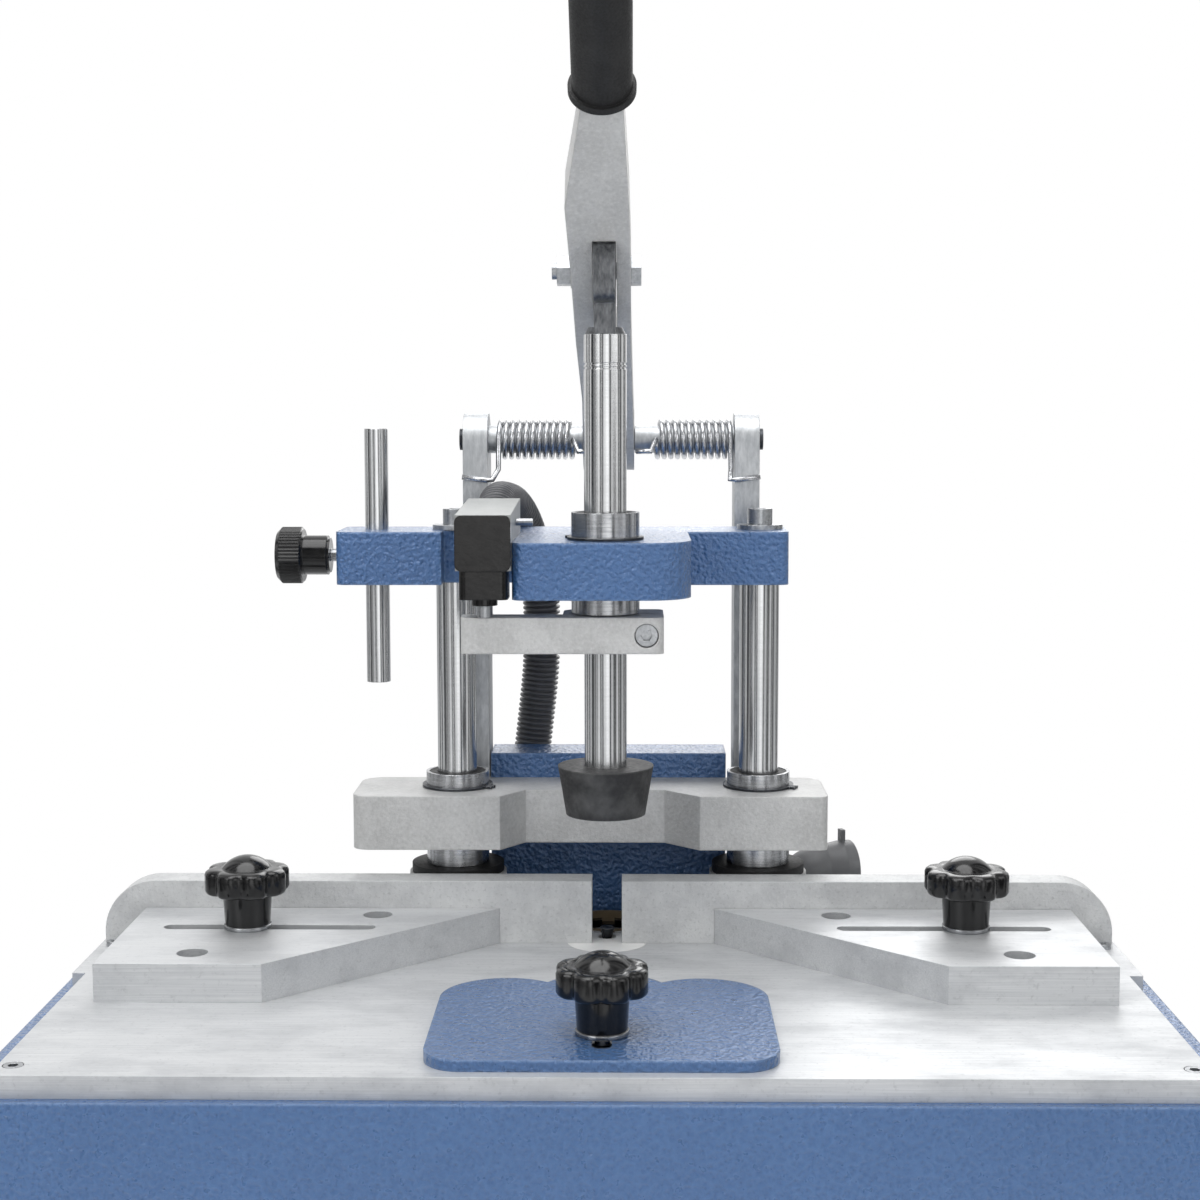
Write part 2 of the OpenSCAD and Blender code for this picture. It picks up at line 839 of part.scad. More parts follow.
conduit_d = 25;
conduit_wall = 2.4;
conduit_rib = 1.6;
conduit_pitch = 4.4;
conduit_sides = 8;
conduit_plain = 25;
path_step = 1;
conduit_route = [
  [-69.5, 65.9, 262.6], [-69.5, 74, 262.6], [-69.5, 84, 266.8], [-69, 98, 271], [-67, 118, 271], [-62, 138, 267],
  [-56, 156, 254], [-50, 168, 232], [-46, 174, 205], [-46, 176, 160], [-51, 177, 110],
  [-57, 177, 60], [-60, 177, 30], [-60, 177, 4]
];

// Smooth curve through the route's points
function spline_point(p, i, t) =
  let (
    n = len(p),
    a = p[max(i - 1, 0)], b = p[i], c = p[i + 1], d = p[min(i + 2, n - 1)]
  )
  (2 * b + t * (c - a) + t * t * (2 * a - 5 * b + 4 * c - d) + t * t * t * (3 * b - a - 3 * c + d)) / 2;
function spline(p, m) = [
  for (i = [0:len(p) - 2]) for (k = [0:m - 1]) spline_point(p, i, k / m),
  p[len(p) - 1]
];
function path_length(p, i = 0, total = 0) =
  i >= len(p) - 1 ? total : path_length(p, i + 1, total + norm(p[i + 1] - p[i]));

// Point at the distance s along a dense path
function along(p, s, i = 0) =
  i >= len(p) - 2 ? p[len(p) - 1]
  : let (d = norm(p[i + 1] - p[i])) s <= d ? p[i] + (p[i + 1] - p[i]) * s / d : along(p, s - d, i + 1);

module conduit() {
  dense = spline(conduit_route, 8);
  total = path_length(dense);
  ribs = floor((total - 2 * conduit_d) / conduit_pitch);
  start = (total - ribs * conduit_pitch) / 2;
  crest = conduit_d / 2;
  root = crest - conduit_rib;
  outer = concat(
    [[0, root], [start - conduit_pitch / 4, root]],
    [for (i = [0:ribs - 1]) each [[start + (i + 1 / 4) * conduit_pitch, crest], [start + (i + 3 / 4) * conduit_pitch, root]]],
    [[total, root]]
  );
  inner = [for (i = [0:conduit_plain]) [total * i / conduit_plain, root - conduit_wall / 2]];
  color([0.25, 0.25, 0.25]) on_table() hollow_tube(dense, outer, inner, conduit_sides);
}

function path_rings(dense, stations, n) = [
  for (s = stations)
    let (
      p = along(dense, s[0]),
      q = along(dense, s[0] + path_step),
      o = along(dense, max(s[0] - path_step, 0)),
      t = unit(norm(q - o) > 0 ? q - o : [0, 0, -1])
    )
    ring_at(p, t, [1, 0, 0], s[1], n)
];

// Tube with its own stations outside and inside, closed by flat rings at both ends
module hollow_tube(dense, outer, inner, n) {
  a = path_rings(dense, outer, n);
  b = path_rings(dense, inner, n);
  ma = len(a);
  mb = len(b);
  points = concat([for (r = a) for (p = r) p], [for (r = b) for (p = r) p]);
  base = ma * n;
  outer_faces = [
    for (i = [0:ma - 2]) for (j = [0:n - 1])
      let (u = i * n + j, v = i * n + (j + 1) % n)
      for (t = [[u, v, v + n], [u, v + n, u + n]]) t
  ];
  inner_faces = [
    for (i = [0:mb - 2]) for (j = [0:n - 1])
      let (u = base + i * n + j, v = base + i * n + (j + 1) % n)
      for (t = [[u, v + n, v], [u, u + n, v + n]]) t
  ];
  first = [
    for (j = [0:n - 1])
      let (u = j, v = (j + 1) % n, w = base + j, x = base + (j + 1) % n)
      for (t = [[u, x, v], [u, w, x]]) t
  ];
  last = [
    for (j = [0:n - 1])
      let (
        u = (ma - 1) * n + j, v = (ma - 1) * n + (j + 1) % n,
        w = base + (mb - 1) * n + j, x = base + (mb - 1) * n + (j + 1) % n
      )
      for (t = [[u, v, x], [u, x, w]]) t
  ];
  polyhedron(points, concat(outer_faces, inner_faces, first, last));
}

// Extraction spout behind the fence

spout_mouth_d = 37;
spout_mouth_l = 8;
spout_cone_l = 12;
spout_turn = 17;
spout_bend_r = 20;
spout_flange_d = 58;
spout_flange_t = 3;
spout_tab_w = 6;
spout_tab_h = 8;

// One pipe of the spout: leg, bend and widening mouth
module spout_flow(pipe, mouth, extra) {
  low = spout_mouth_d / 2 - spout_bend_r;
  translate([0, 0, -table_t - extra]) cylinder(d = pipe, h = table_t + low + extra);
  translate([spout_bend_r, 0, low])
    mirror([1, 0, 0])
      rotate([90, 0, 0])
        rotate_extrude(angle = 90) translate([spout_bend_r, 0]) circle(d = pipe);
  translate([spout_bend_r, 0, low + spout_bend_r])
    rotate([0, 90, 0]) {
      cylinder(d1 = pipe, d2 = mouth, h = spout_cone_l);
      translate([0, 0, spout_cone_l]) cylinder(d = mouth, h = spout_mouth_l + extra);
    }
}

module dust_spout() {
  color("dimgray")
    on_table()
      translate([spout_x, spout_y, 0])
        rotate(spout_turn)
          difference() {
            union() {
              cylinder(d = spout_flange_d, h = spout_flange_t);
              spout_flow(spout_d, spout_mouth_d, 0);
              translate([spout_bend_r + spout_cone_l, -spout_tab_w / 2, spout_mouth_d - spout_wall])
                cube([spout_wall, spout_tab_w, spout_tab_h + spout_wall]);
            }
            spout_flow(spout_d - 2 * spout_wall, spout_mouth_d - 2 * spout_wall, overrun);
          }
}

// Carriage: everything that rises with the motor

bracket_screw_xs = [-58, -24, 24, 58];
bracket_screw_z = carriage_z + carriage_t / 2;
arm_screw_zs = [carriage_z + 8, carriage_z + carriage_t - 8];
m8_d = 8;
screw_bite = 16;
carriage_end_r = 10;
carriage_rear_r = 14;
recess_left_out = 67;
recess_left_in = 52;
recess_right_in = 36;
recess_right_out = 58;

module carriage_outline() {
  front = column_y - carriage_front;
  recess = column_y - recess_front;
  difference() {
    polygon([
      [-carriage_left, front], [-recess_left_out, front], [-recess_left_in, recess], [recess_right_in, recess],
      [recess_right_out, front], [carriage_right, front], [carriage_right, back_y], [-carriage_left, back_y]
    ]);
    translate([carriage_right, back_y]) corner_waste(carriage_rear_r);
    translate([-carriage_left, back_y]) rotate(90) corner_waste(carriage_rear_r);
    translate([carriage_right, front]) rotate(-90) corner_waste(carriage_end_r / 2);
    translate([-carriage_left, front]) rotate(180) corner_waste(carriage_end_r);
  }
}

module rear_screw_holes(xs, zs, d, l) {
  for (x = xs, z = zs)
    translate([x, back_y + overrun, z]) rotate([90, 0, 0]) cylinder(d = d, h = l + overrun);
}

arm_mids = [-(arm_left_x + arm_t / 2), arm_right_x + arm_t / 2];

module carriage_bridge() {
  color("gainsboro")
    on_table()
      difference() {
        translate([0, 0, carriage_z]) linear_extrude(carriage_t) carriage_outline();
        for (s = [-1, 1])
          translate([s * column_x, column_y, carriage_z - overrun]) cylinder(d = bushing_d, h = carriage_t + 2 * overrun);
        rear_screw_holes(bracket_screw_xs, [bracket_screw_z], m8_d, screw_bite);
        rear_screw_holes(arm_mids, arm_screw_zs, m6_d, screw_bite / 2);
      }
}

bushing_low = boss_h + ring_t + seat_gap;

module at_columns(z) { on_table() for (s = [-1, 1]) translate([s * column_x, column_y, z]) children(); }

module carriage_bushings() { color("silver") at_columns(bushing_low) bushing_shell(column_d); }

module carriage_seals() { color([0.1, 0.1, 0.1]) at_columns(bushing_low) bushing_seal_pair(column_d); }

module carriage_circlips() { color([0.2, 0.2, 0.2]) at_columns(carriage_z + carriage_t) rotate(-25) circlip(); }

rib_t = 10;
ring_up = 4;
ring_short = 6;
ring_z = neck_top - neck_h + ring_up;
ring_h = neck_h - ring_short;
shelf_t = 14;

module motor_bracket() {
  wall_top = carriage_z + carriage_t + bracket_top;
  rib_low = 6;
  color("steelblue")
    on_table()
      difference() {
        union() {
          translate([-bracket_half, back_y, rib_low]) cube([2 * bracket_half, bracket_wall, wall_top - rib_low]);
          translate([-bracket_low_half, back_y, ring_z]) cube([2 * bracket_low_half, bracket_wall, rib_low - ring_z]);
          translate([-bracket_half, back_y, wall_top - bracket_wall]) cube([2 * bracket_half, bracket_d, bracket_wall]);
          for (x = [-bracket_half, bracket_half - rib_t])
            translate([x, back_y, 0])
              rotate([90, 0, 90])
                linear_extrude(rib_t)
                  polygon([[0, rib_low], [bracket_wall, rib_low], [bracket_d, wall_top - bracket_wall], [0, wall_top - bracket_wall]]);
          translate([-bracket_low_half, cutter_y, ring_z]) cube([2 * bracket_low_half, back_y - cutter_y, shelf_t]);
          translate([0, cutter_y, ring_z]) cylinder(r = bracket_low_half, h = shelf_t);
          translate([0, cutter_y, ring_z]) cylinder(d = neck_d + 2 * clamp_ring_wall, h = ring_h);
        }
        translate([0, cutter_y, ring_z - overrun]) cylinder(d = neck_d, h = ring_h + 2 * overrun);
        for (x = bracket_screw_xs)
          translate([x, back_y + bracket_wall + overrun, bracket_screw_z])
            rotate([90, 0, 0]) cylinder(d = m8_d, h = bracket_wall + 2 * overrun);
      }
}

module bracket_screws() {
  arm_back = back_y + arm_d;
  color("silver")
    on_table() {
      for (x = bracket_screw_xs)
        translate([x, back_y + bracket_wall, bracket_screw_z])
          rotate([-90, 0, 0]) cap_screw(m8_head_d, m8_head_h, m8_d, bracket_wall + screw_bite, m8_socket);
      for (x = arm_mids, z = arm_screw_zs)
        translate([x, arm_back, z])
          rotate([-90, 0, 0]) cap_screw(m6_head_d, m6_head_h, m6_d, arm_d + screw_bite / 2, m6_socket);
    }
}

arm_d = 2 * (axle_y - back_y);

module spring_arm(x) {
  on_table()
    difference() {
      translate([x, 0, 0])
        rotate([90, 0, 90])
          linear_extrude(arm_t) {
            translate([back_y, carriage_z]) square([arm_d, axle_z - carriage_z]);
            translate([axle_y, axle_z]) circle(d = arm_d);
          }
      translate([x - overrun, axle_y, axle_z]) rotate([0, 90, 0]) cylinder(d = axle_d, h = arm_t + 2 * overrun);
      for (z = arm_screw_zs)
        translate([x + arm_t / 2, back_y + arm_d + overrun, z])
          rotate([90, 0, 0]) cylinder(d = m6_d, h = arm_d + 2 * overrun);
    }
}

module spring_arm_left() { color("darkgray") spring_arm(-arm_left_x - arm_t); }

module spring_arm_right() { color("darkgray") spring_arm(arm_right_x); }

axle_over = 3;
sleeve_d = 18;

module lever_axle() {
  color("dimgray")
    on_table()
      translate([-arm_left_x - arm_t - axle_over, axle_y, axle_z])
        rotate([0, 90, 0]) cylinder(d = axle_d, h = arm_left_x + arm_right_x + 2 * arm_t + 2 * axle_over);
}

module sleeve(x0, x1) {
  on_table() translate([x0, axle_y, axle_z]) rotate([0, 90, 0]) ring(sleeve_d, axle_d, x1 - x0);
}

module axle_sleeves() {
  color("gray") {
    sleeve(-arm_left_x, -hub_left - seat_gap);
    sleeve(hub_right + seat_gap, arm_right_x);
  }
}

// Torsion springs as one unbroken wire each

coil_r = (spring_d - spring_wire) / 2;
left_coil_x = 71;
right_coil_x = 79.5;
coil_rings = 8;
wire_sides = 6;
leg_drop = 26;
leg_rise = 2;
leg_front = back_y - spring_wire / 2 - seat_gap;
leg_side = 16;
hook_r = hub_r + spring_wire / 2 + seat_gap;
hook_angle = 200;
hook_in = 13;

// Centre line of a spring in the axle's own frame, the coil starting at x = 0 and running to +x
function spring_path(arm_gap) = concat(
  [
    [-arm_gap - leg_side, leg_front - axle_y, leg_rise - leg_drop],
    [-arm_gap, leg_front - axle_y, -leg_drop],
    [-arm_gap + spring_wire, leg_front - axle_y, -leg_drop],
    [0, leg_front - axle_y + spring_wire, -leg_drop + 2 * spring_wire],
    [0, -coil_r, -coil_r / 2]
  ],
  [
    for (i = [0:spring_turns * coil_rings])
      let (a = 180 - 360 * i / coil_rings)
      [i * spring_pitch / coil_rings, coil_r * cos(a), coil_r * sin(a)]
  ],
  [
    [spring_turns * spring_pitch + spring_wire / 2, -coil_r - spring_wire, -spring_wire],
    [spring_turns * spring_pitch + spring_wire, hook_r * cos(hook_angle), hook_r * sin(hook_angle)],
    [spring_turns * spring_pitch + hook_in, hook_r * cos(hook_angle), hook_r * sin(hook_angle)]
  ]
);

function tangent(p, i) = unit(p[min(i + 1, len(p) - 1)] - p[max(i - 1, 0)]);

// Side vector carried along the path so that the rings never twist
function side_vectors(p, i = 0, s = [0, 0, 1], found = []) =
  i >= len(p) ? found
  : let (t = tangent(p, i), v = unit(s - (s * t) * t)) side_vectors(p, i + 1, v, concat(found, [v]));

// Smallest distance between points of the wire's path that are half a turn or more apart, less the wire
spring_points = spring_path(arm_left_x - left_coil_x + seat_gap);
spring_self_gap = min([
  for (i = [0:len(spring_points) - 1], j = [0:len(spring_points) - 1])
    if (j >= i + coil_rings / 2) norm(spring_points[i] - spring_points[j])
]) - spring_wire;
echo(spring_self_gap = spring_self_gap);

module spring_wire_solid(arm_gap) {
  p = spring_path(arm_gap);
  s = side_vectors(p);
  ring_tube([for (i = [0:len(p) - 1]) ring_at(p[i], tangent(p, i), s[i], spring_wire / 2, wire_sides)]);
}

module spring_left() {
  color("silver") on_table() translate([-left_coil_x, axle_y, axle_z]) spring_wire_solid(arm_left_x - left_coil_x + seat_gap);
}

module spring_right() {
  color("silver") on_table() translate([right_coil_x, axle_y, axle_z]) mirror([1, 0, 0]) spring_wire_solid(arm_right_x - right_coil_x + seat_gap);
}

// Router motor under the carriage

module motor_body() {
  shoulder = 6;
  body_top = neck_top - neck_h;
  color("dimgray")
    on_table()
      translate([0, cutter_y, 0])
        difference() {
          union() {
            translate([0, 0, body_top]) cylinder(d = neck_d, h = neck_h);
            translate([0, 0, body_top - shoulder]) cylinder(d1 = motor_d, d2 = neck_d + shoulder, h = shoulder);
            translate([0, 0, body_top - motor_len]) cylinder(d = motor_d, h = motor_len - shoulder);
          }
          translate([0, 0, neck_top - spindle_h]) cylinder(d = spindle_d + 2 * run_gap, h = spindle_h + overrun);
        }
}

motor_cap_h = 12;

module motor_cap() {
  low = neck_top - neck_h - motor_len - motor_cap_h;
  vents = 12;
  vent_w = 3;
  color([0.1, 0.1, 0.1])
    on_table()
      translate([0, cutter_y, low])
        difference() {
          union() {
            cylinder(d1 = motor_d - motor_cap_h, d2 = motor_d, h = motor_cap_h / 2);
            translate([0, 0, motor_cap_h / 2]) cylinder(d = motor_d, h = motor_cap_h / 2);
          }
          for (i = [0:vents - 1])
            rotate(360 * i / vents)
              translate([motor_d / 5, -vent_w / 2, -overrun]) cube([motor_d / 5, vent_w, motor_cap_h / 2 + overrun]);
        }
}

module collet_nut() {
  color([0.25, 0.25, 0.25])
    on_table()
      translate([0, cutter_y, 0])
        difference() {
          union() {
            translate([0, 0, neck_top - spindle_h + seat_gap]) cylinder(d = spindle_d, h = 2 * spindle_h);
            translate([0, 0, nut_top - nut_h]) intersection() {
              hex_bar(nut_d - 2 * side_gap, nut_h);
              cylinder(d = nut_d, h = nut_h);
            }
          }
          translate([0, 0, nut_top - nut_h]) cylinder(d = shank_d, h = nut_h + overrun);
        }
}

module dovetail_cutter() {
  shank_low = nut_top - nut_h + seat_gap;
  neck_low = cutter_tip_z - cutter_tip_h - 2 * cutter_tip_h;
  flute = 2.2;
  color([0.12, 0.12, 0.12])
    on_table()
      translate([0, cutter_y, 0])
        difference() {
          union() {
            translate([0, 0, shank_low]) cylinder(d = shank_d, h = neck_low - shank_low);
            translate([0, 0, neck_low]) cylinder(d = cutter_neck_d, h = cutter_tip_z - neck_low);
            translate([0, 0, cutter_tip_z - cutter_tip_h]) cylinder(d1 = cutter_neck_d, d2 = cutter_d, h = cutter_tip_h);
          }
          for (a = [0, 180])
            rotate(a)
              translate([cutter_neck_d / 4, 0, cutter_tip_z - cutter_tip_h])
                cube([cutter_d, flute, cutter_tip_h + overrun]);
        }
}

// Clamp: everything on the sliding shaft

module clamp_shaft() {
  color("silver")
    on_table() {
      difference() {
        translate([0, 0, foot_top - foot_seat]) cylinder(d = shaft_d, h = shaft_top - foot_top + foot_seat);
        for (i = [0, 1])
          translate([0, 0, shaft_groove_z + 2 * i * shaft_groove_h])
            ring(shaft_d + 2 * overrun, shaft_d - 2 * shaft_groove_depth, shaft_groove_h);
      }
    }
}

module foot_rubber() {
  color([0.12, 0.12, 0.12])
    on_table()
      difference() {
        translate([0, 0, foot_pad_z]) cylinder(d1 = foot_low_d, d2 = foot_top_d, h = foot_rubber_h);
        translate([0, 0, foot_top - foot_seat]) cylinder(d = shaft_d, h = foot_seat + overrun);
      }
}

module lug_outline() {
  difference() {
    union() {
      translate([-lug_front, lug_low]) square([lug_front + lug_rear, lug_high - lug_low]);
      translate([-lug_neck_d / 2, shaft_top]) square([lug_neck_d, lug_low - shaft_top + overrun]);
    }
    translate([-lug_front, lug_high]) rotate(90) corner_waste(lug_nose_r);
    translate([-lug_front, lug_low]) rotate(180) corner_waste(lug_wall);
    translate([lug_rear, lug_high]) corner_waste(lug_wall);
    translate([lug_rear, lug_low]) rotate(-90) corner_waste(lug_wall);
    translate([-slot_front, slot_low]) square([slot_front + slot_rear, slot_high - slot_low]);
  }
}

module shaft_lug() {
  color([0.35, 0.35, 0.36])
    on_table() {
      translate([-lug_t / 2, 0, 0]) rotate([90, 0, 90]) linear_extrude(lug_t) lug_outline();
      translate([0, 0, shaft_top]) cylinder(d1 = weld_d, d2 = weld_d - weld_h, h = weld_h);
    }
}

module switch_arm() {
  corner = 5;
  front = clamp_arm_d / 2;
  pad_back = head_y + switch_head_d / 2;
  color("gainsboro")
    on_table()
      translate([0, 0, clamp_arm_z])
        difference() {
          linear_extrude(clamp_arm_t)
            difference() {
              union() {
                translate([-clamp_arm_left, -front]) square([clamp_arm_left, front + pad_back + corner]);
                translate([0, -front]) square([clamp_arm_right, 2 * front]);
                translate([-front, 0]) square([front, front]);
                circle(d = clamp_arm_d);
              }
              translate([-clamp_arm_left, -front]) rotate(180) corner_waste(corner);
              translate([clamp_arm_right, -front]) rotate(-90) corner_waste(corner);
              translate([clamp_arm_right, front]) corner_waste(corner);
              translate([-front, front]) rotate(90) corner_waste(2 * corner);
              circle(d = shaft_d);
              translate([0, -clamp_slit / 2]) square([clamp_arm_right + overrun, clamp_slit]);
            }
          translate([clamp_screw_x, -front - overrun, clamp_arm_t / 2])
            rotate([-90, 0, 0]) {
              cylinder(d = m8_head_d + side_gap, h = m8_head_h + clamp_screw_seat / 2 + overrun);
              cylinder(d = m8_d, h = clamp_arm_d - clamp_screw_seat);
            }
        }
}

module arm_screw() {
  front = clamp_arm_d / 2;
  seat = clamp_screw_seat / 2 + m8_head_h;
  color("silver")
    on_table()
      translate([clamp_screw_x, -front + seat, clamp_arm_z + clamp_arm_t / 2])
        rotate([90, 0, 0]) cap_screw(m8_head_d, m8_head_h, m8_d, clamp_arm_d - clamp_screw_seat - seat - overrun, m8_socket);
}

// Lever, drawn along -Y from its axle and turned up by its rest angle

lever_pin_shares = [0, 0.36, 0.72, 1.08, 1.41];
lever_thick_shares = [0.85, 0.65, 0.8, 0.85, 0.7, 0.5];
lever_left_shares = [0.8, 0.78, 0.9, 0.97, 1.08, 0.55];
lever_right_shares = [0.85, 0.8, 0.75, 0.75, 0.7, 0.55];
lever_body_end = lever_len - grip_len;
lever_stations = concat([for (s = lever_pin_shares) s * pin_radius], [lever_body_end]);
bar_d = 18;
grip_d = 32;
fork_start = 116;
nose_y = lug_front - lug_nose_r + pin_rest_y;
nose_z = lug_high - lug_nose_r - pin_z;
nose_reach = nose_y * cos(lever_angle) + nose_z * sin(lever_angle) + lug_nose_r;
fork_end = pin_radius + nose_reach + side_gap;
boss_reach = 20;

module lever_place() { on_table() translate([0, axle_y, axle_z]) rotate([-lever_angle, 0, 0]) children(); }

module lever_side_outline() {
  n = len(lever_stations);
  polygon(concat(
    [for (i = [0:n - 1]) [-lever_stations[i], lever_thick_shares[i] * hub_r]],
    [for (i = [n - 1:-1:0]) [-lever_stations[i], -lever_thick_shares[i] * hub_r]]
  ));
}

module lever_top_outline() {
  n = len(lever_stations);
  polygon(concat(
    [for (i = [0:n - 1]) [lever_right_shares[i] * hub_r, -lever_stations[i]]],
    [for (i = [n - 1:-1:0]) [-lever_left_shares[i] * hub_r, -lever_stations[i]]]
  ));
}

module lever() {
  color("silver")
    lever_place()
      difference() {
        union() {
          intersection() {
            translate([-lever_len, 0, 0]) rotate([90, 0, 90]) linear_extrude(2 * lever_len) lever_side_outline();
            translate([0, 0, -lever_len]) linear_extrude(2 * lever_len) lever_top_outline();
          }
          translate([-hub_left, 0, 0]) rotate([0, 90, 0]) cylinder(r = hub_r, h = hub_left + hub_right);
          translate([-boss_reach, -pin_radius, 0]) rotate([0, 90, 0]) cylinder(d = 2 * pin_d, h = boss_reach + lever_side);
          translate([0, bar_d - lever_body_end, 0]) rotate([90, 0, 0]) cylinder(d = bar_d, h = grip_len + bar_d);
        }
        translate([-lever_len, 0, 0]) rotate([0, 90, 0]) cylinder(d = axle_d + 2 * run_gap, h = 2 * lever_len);
        translate([-lever_len, -pin_radius, 0]) rotate([0, 90, 0]) cylinder(d = pin_d, h = 2 * lever_len);
        translate([-fork_gap / 2, -fork_end, -lever_len]) cube([fork_gap, fork_end - fork_start, 2 * lever_len]);
      }
}

module lever_grip() {
  cap = 4;
  color([0.1, 0.1, 0.1])
    lever_place()
      translate([0, -(lever_len - grip_len), 0])
        rotate([90, 0, 0])
          difference() {
            union() {
              cylinder(d = grip_d, h = grip_len);
              translate([0, 0, grip_len]) cylinder(d1 = grip_d, d2 = grip_d - 2 * cap, h = cap);
              cylinder(d = grip_d + cap, h = cap);
            }
            translate([0, 0, -overrun]) cylinder(d = bar_d, h = grip_len + overrun);
          }
}

module clevis_bolt() {
  head_af = 16;
  head_h = 6;
  nut_h_clevis = 8;
  tail = 3;
  color("silver")
    lever_place()
      translate([0, -pin_radius, 0]) {
        translate([-boss_reach - nut_h_clevis - tail, 0, 0])
          rotate([0, 90, 0]) cylinder(d = pin_d, h = boss_reach + nut_h_clevis + tail + lever_side);
        translate([lever_side, 0, 0]) rotate([0, 90, 0]) hex_bar(head_af, head_h);
        translate([-boss_reach - nut_h_clevis, 0, 0])
          rotate([0, 90, 0])
            difference() {
              hex_bar(head_af, nut_h_clevis);
              translate([0, 0, -overrun]) cylinder(d = pin_d, h = nut_h_clevis + 2 * overrun);
            }
      }
}

// Mitre plates

mitre_gap = 0.3;
mitre_hole_a = [235, 102];
mitre_hole_b = [140, 16];
slot_y = -2;

module mitre_solid() {
  back = fence_y - mitre_gap;
  on_table()
    linear_extrude(mitre_t)
      difference() {
        polygon([
          [mitre_tip, back], [mitre_outer, back], [mitre_outer, back - mitre_d], [mitre_tip + mitre_d, back - mitre_d]
        ]);
        translate([mitre_slot_x, slot_y]) long_hole(mitre_slot_l, mitre_slot_w);
        for (p = [mitre_hole_a, mitre_hole_b]) translate([p[0], back - p[1]]) circle(d = mitre_hole_d);
      }
}

module mitre_plate_right() { color("gainsboro") mitre_solid(); }

module mitre_plate_left() { color("gainsboro") mirror([1, 0, 0]) mitre_solid(); }

// Star knobs, each with its own washer and stud

lobes = 8;
scallop_share = 0.15;
scallop_out_share = 1.04;
knob_washer_t = 2.5;
knob_washer_d = 24;
knob_hub_low_d = 24;
knob_hub_top_d = 29;
knob_hub_share = 0.485;
knob_dome_h = 4.6;
knob_dome_d = 27;
knob_edge = 2.4;
dome_steps = 6;
dome_r = (knob_dome_h * knob_dome_h + knob_dome_d * knob_dome_d / 4) / (2 * knob_dome_h);
dome_half = asin(knob_dome_d / 2 / dome_r);

module star_knob(seat) {
  hub_h = knob_h * knob_hub_share;
  head_h = knob_h - hub_h;
  rim_h = head_h - knob_dome_h;
  washer_top = knob_washer_t;
  translate([0, 0, seat]) {
    ring(knob_washer_d, knob_stud_d, knob_washer_t);
    translate([0, 0, -seat - table_t]) cylinder(d = knob_stud_d, h = seat + table_t + washer_top);
    translate([0, 0, washer_top]) {
      cylinder(d1 = knob_hub_low_d, d2 = knob_hub_top_d, h = hub_h);
      translate([0, 0, hub_h])
        intersection() {
          rotate_extrude()
            polygon(concat(
              [
                [0, 0], [knob_d / 2 - knob_edge / 2, 0], [knob_d / 2, knob_edge / 2], [knob_d / 2, rim_h - knob_edge],
                [knob_d / 2 - knob_edge / 3, rim_h - knob_edge / 3], [knob_d / 2 - knob_edge, rim_h]
              ],
              [
                for (i = [dome_steps:-1:1])
                  let (a = dome_half * i / dome_steps)
                  [dome_r * sin(a), head_h - dome_r + dome_r * cos(a)]
              ],
              [[0, head_h]]
            ));
          linear_extrude(head_h)
            difference() {
              circle(d = knob_d);
              for (i = [0:lobes - 1])
                rotate(360 * i / lobes) translate([knob_d / 2 * scallop_out_share, 0]) circle(d = knob_d * scallop_share);
            }
        }
    }
  }
}

module star_knob_left() { color([0.08, 0.08, 0.08]) on_table() translate([-knob_x, slot_y, 0]) star_knob(mitre_t); }

module star_knob_right() { color([0.08, 0.08, 0.08]) on_table() translate([knob_x, slot_y, 0]) star_knob(mitre_t); }

module star_knob_front() { color([0.08, 0.08, 0.08]) on_table() translate([0, -front_knob_y, 0]) star_knob(front_t); }

// Cast front support with its adjusting slot

front_half = 91;
front_back = 42;
front_lobe_r = 36;
front_lobe_gap = 10;
front_mid_r = 38;
front_front = 196;
front_corner_r = 20;
front_slot_l = 50;

module front_support() {
  lobe_y = -(front_back + front_lobe_gap + front_lobe_r);
  color("steelblue")
    on_table()
      linear_extrude(front_t)
        difference() {
          union() {
            for (s = [-1, 1]) translate([s * (front_half - front_lobe_r), lobe_y]) circle(front_lobe_r);
            translate([0, -front_back - front_mid_r]) circle(front_mid_r);
            translate([-front_half, -front_front]) square([2 * front_half, front_front + lobe_y]);
          }
          for (s = [-1, 1]) translate([s * front_half, -front_front]) rotate(s > 0 ? -90 : 180) corner_waste(front_corner_r);
          translate([0, -front_knob_y]) rotate(90) long_hole(front_slot_l, mitre_slot_w);
        }
}

base_shell();
base_feet();
rear_cover();
table_plate();
table_screws();
table_insert();
fence_left();
fence_right();
fence_screws();
column_bosses();
column_left();
column_right();
stop_rings();
top_bridge();
hub_bushing();
hub_seals();
hub_circlip();
column_cap_screws();
column_washers();
stop_rod();
stop_knob();
switch_body();
switch_cover();
switch_head();
switch_screws();
switch_plunger();
conduit();
dust_spout();
chip_ring();
chip_cup();
carriage_bridge();
carriage_bushings();
carriage_seals();
carriage_circlips();
motor_bracket();
bracket_screws();
spring_arm_left();
spring_arm_right();
lever_axle();
axle_sleeves();
spring_left();
spring_right();
motor_body();
motor_cap();
collet_nut();
dovetail_cutter();
clamp_shaft();
shaft_lug();
foot_rubber();
switch_arm();
arm_screw();
lever();
lever_grip();
clevis_bolt();
mitre_plate_left();
mitre_plate_right();
star_knob_left();
star_knob_right();
star_knob_front();
front_support();
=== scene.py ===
# %% [markdown]
# # A bench machine for milling dovetails
#
# The machine stands on a bench and is worked by one long hand lever. The lever presses a rubber foot down
# on the work and then lifts a router motor, so that its small dovetail cutter rises through the table.
# Its hard parts come ready made from the CAD model, in metres and in their final places. This lesson loads
# them, gives each one the finish of the real material, makes the wound and ribbed pieces again with finer
# forms, and then sets up the camera and the lights.

# %% Load the frame
import math
import bpy
from mathutils import Matrix, Vector


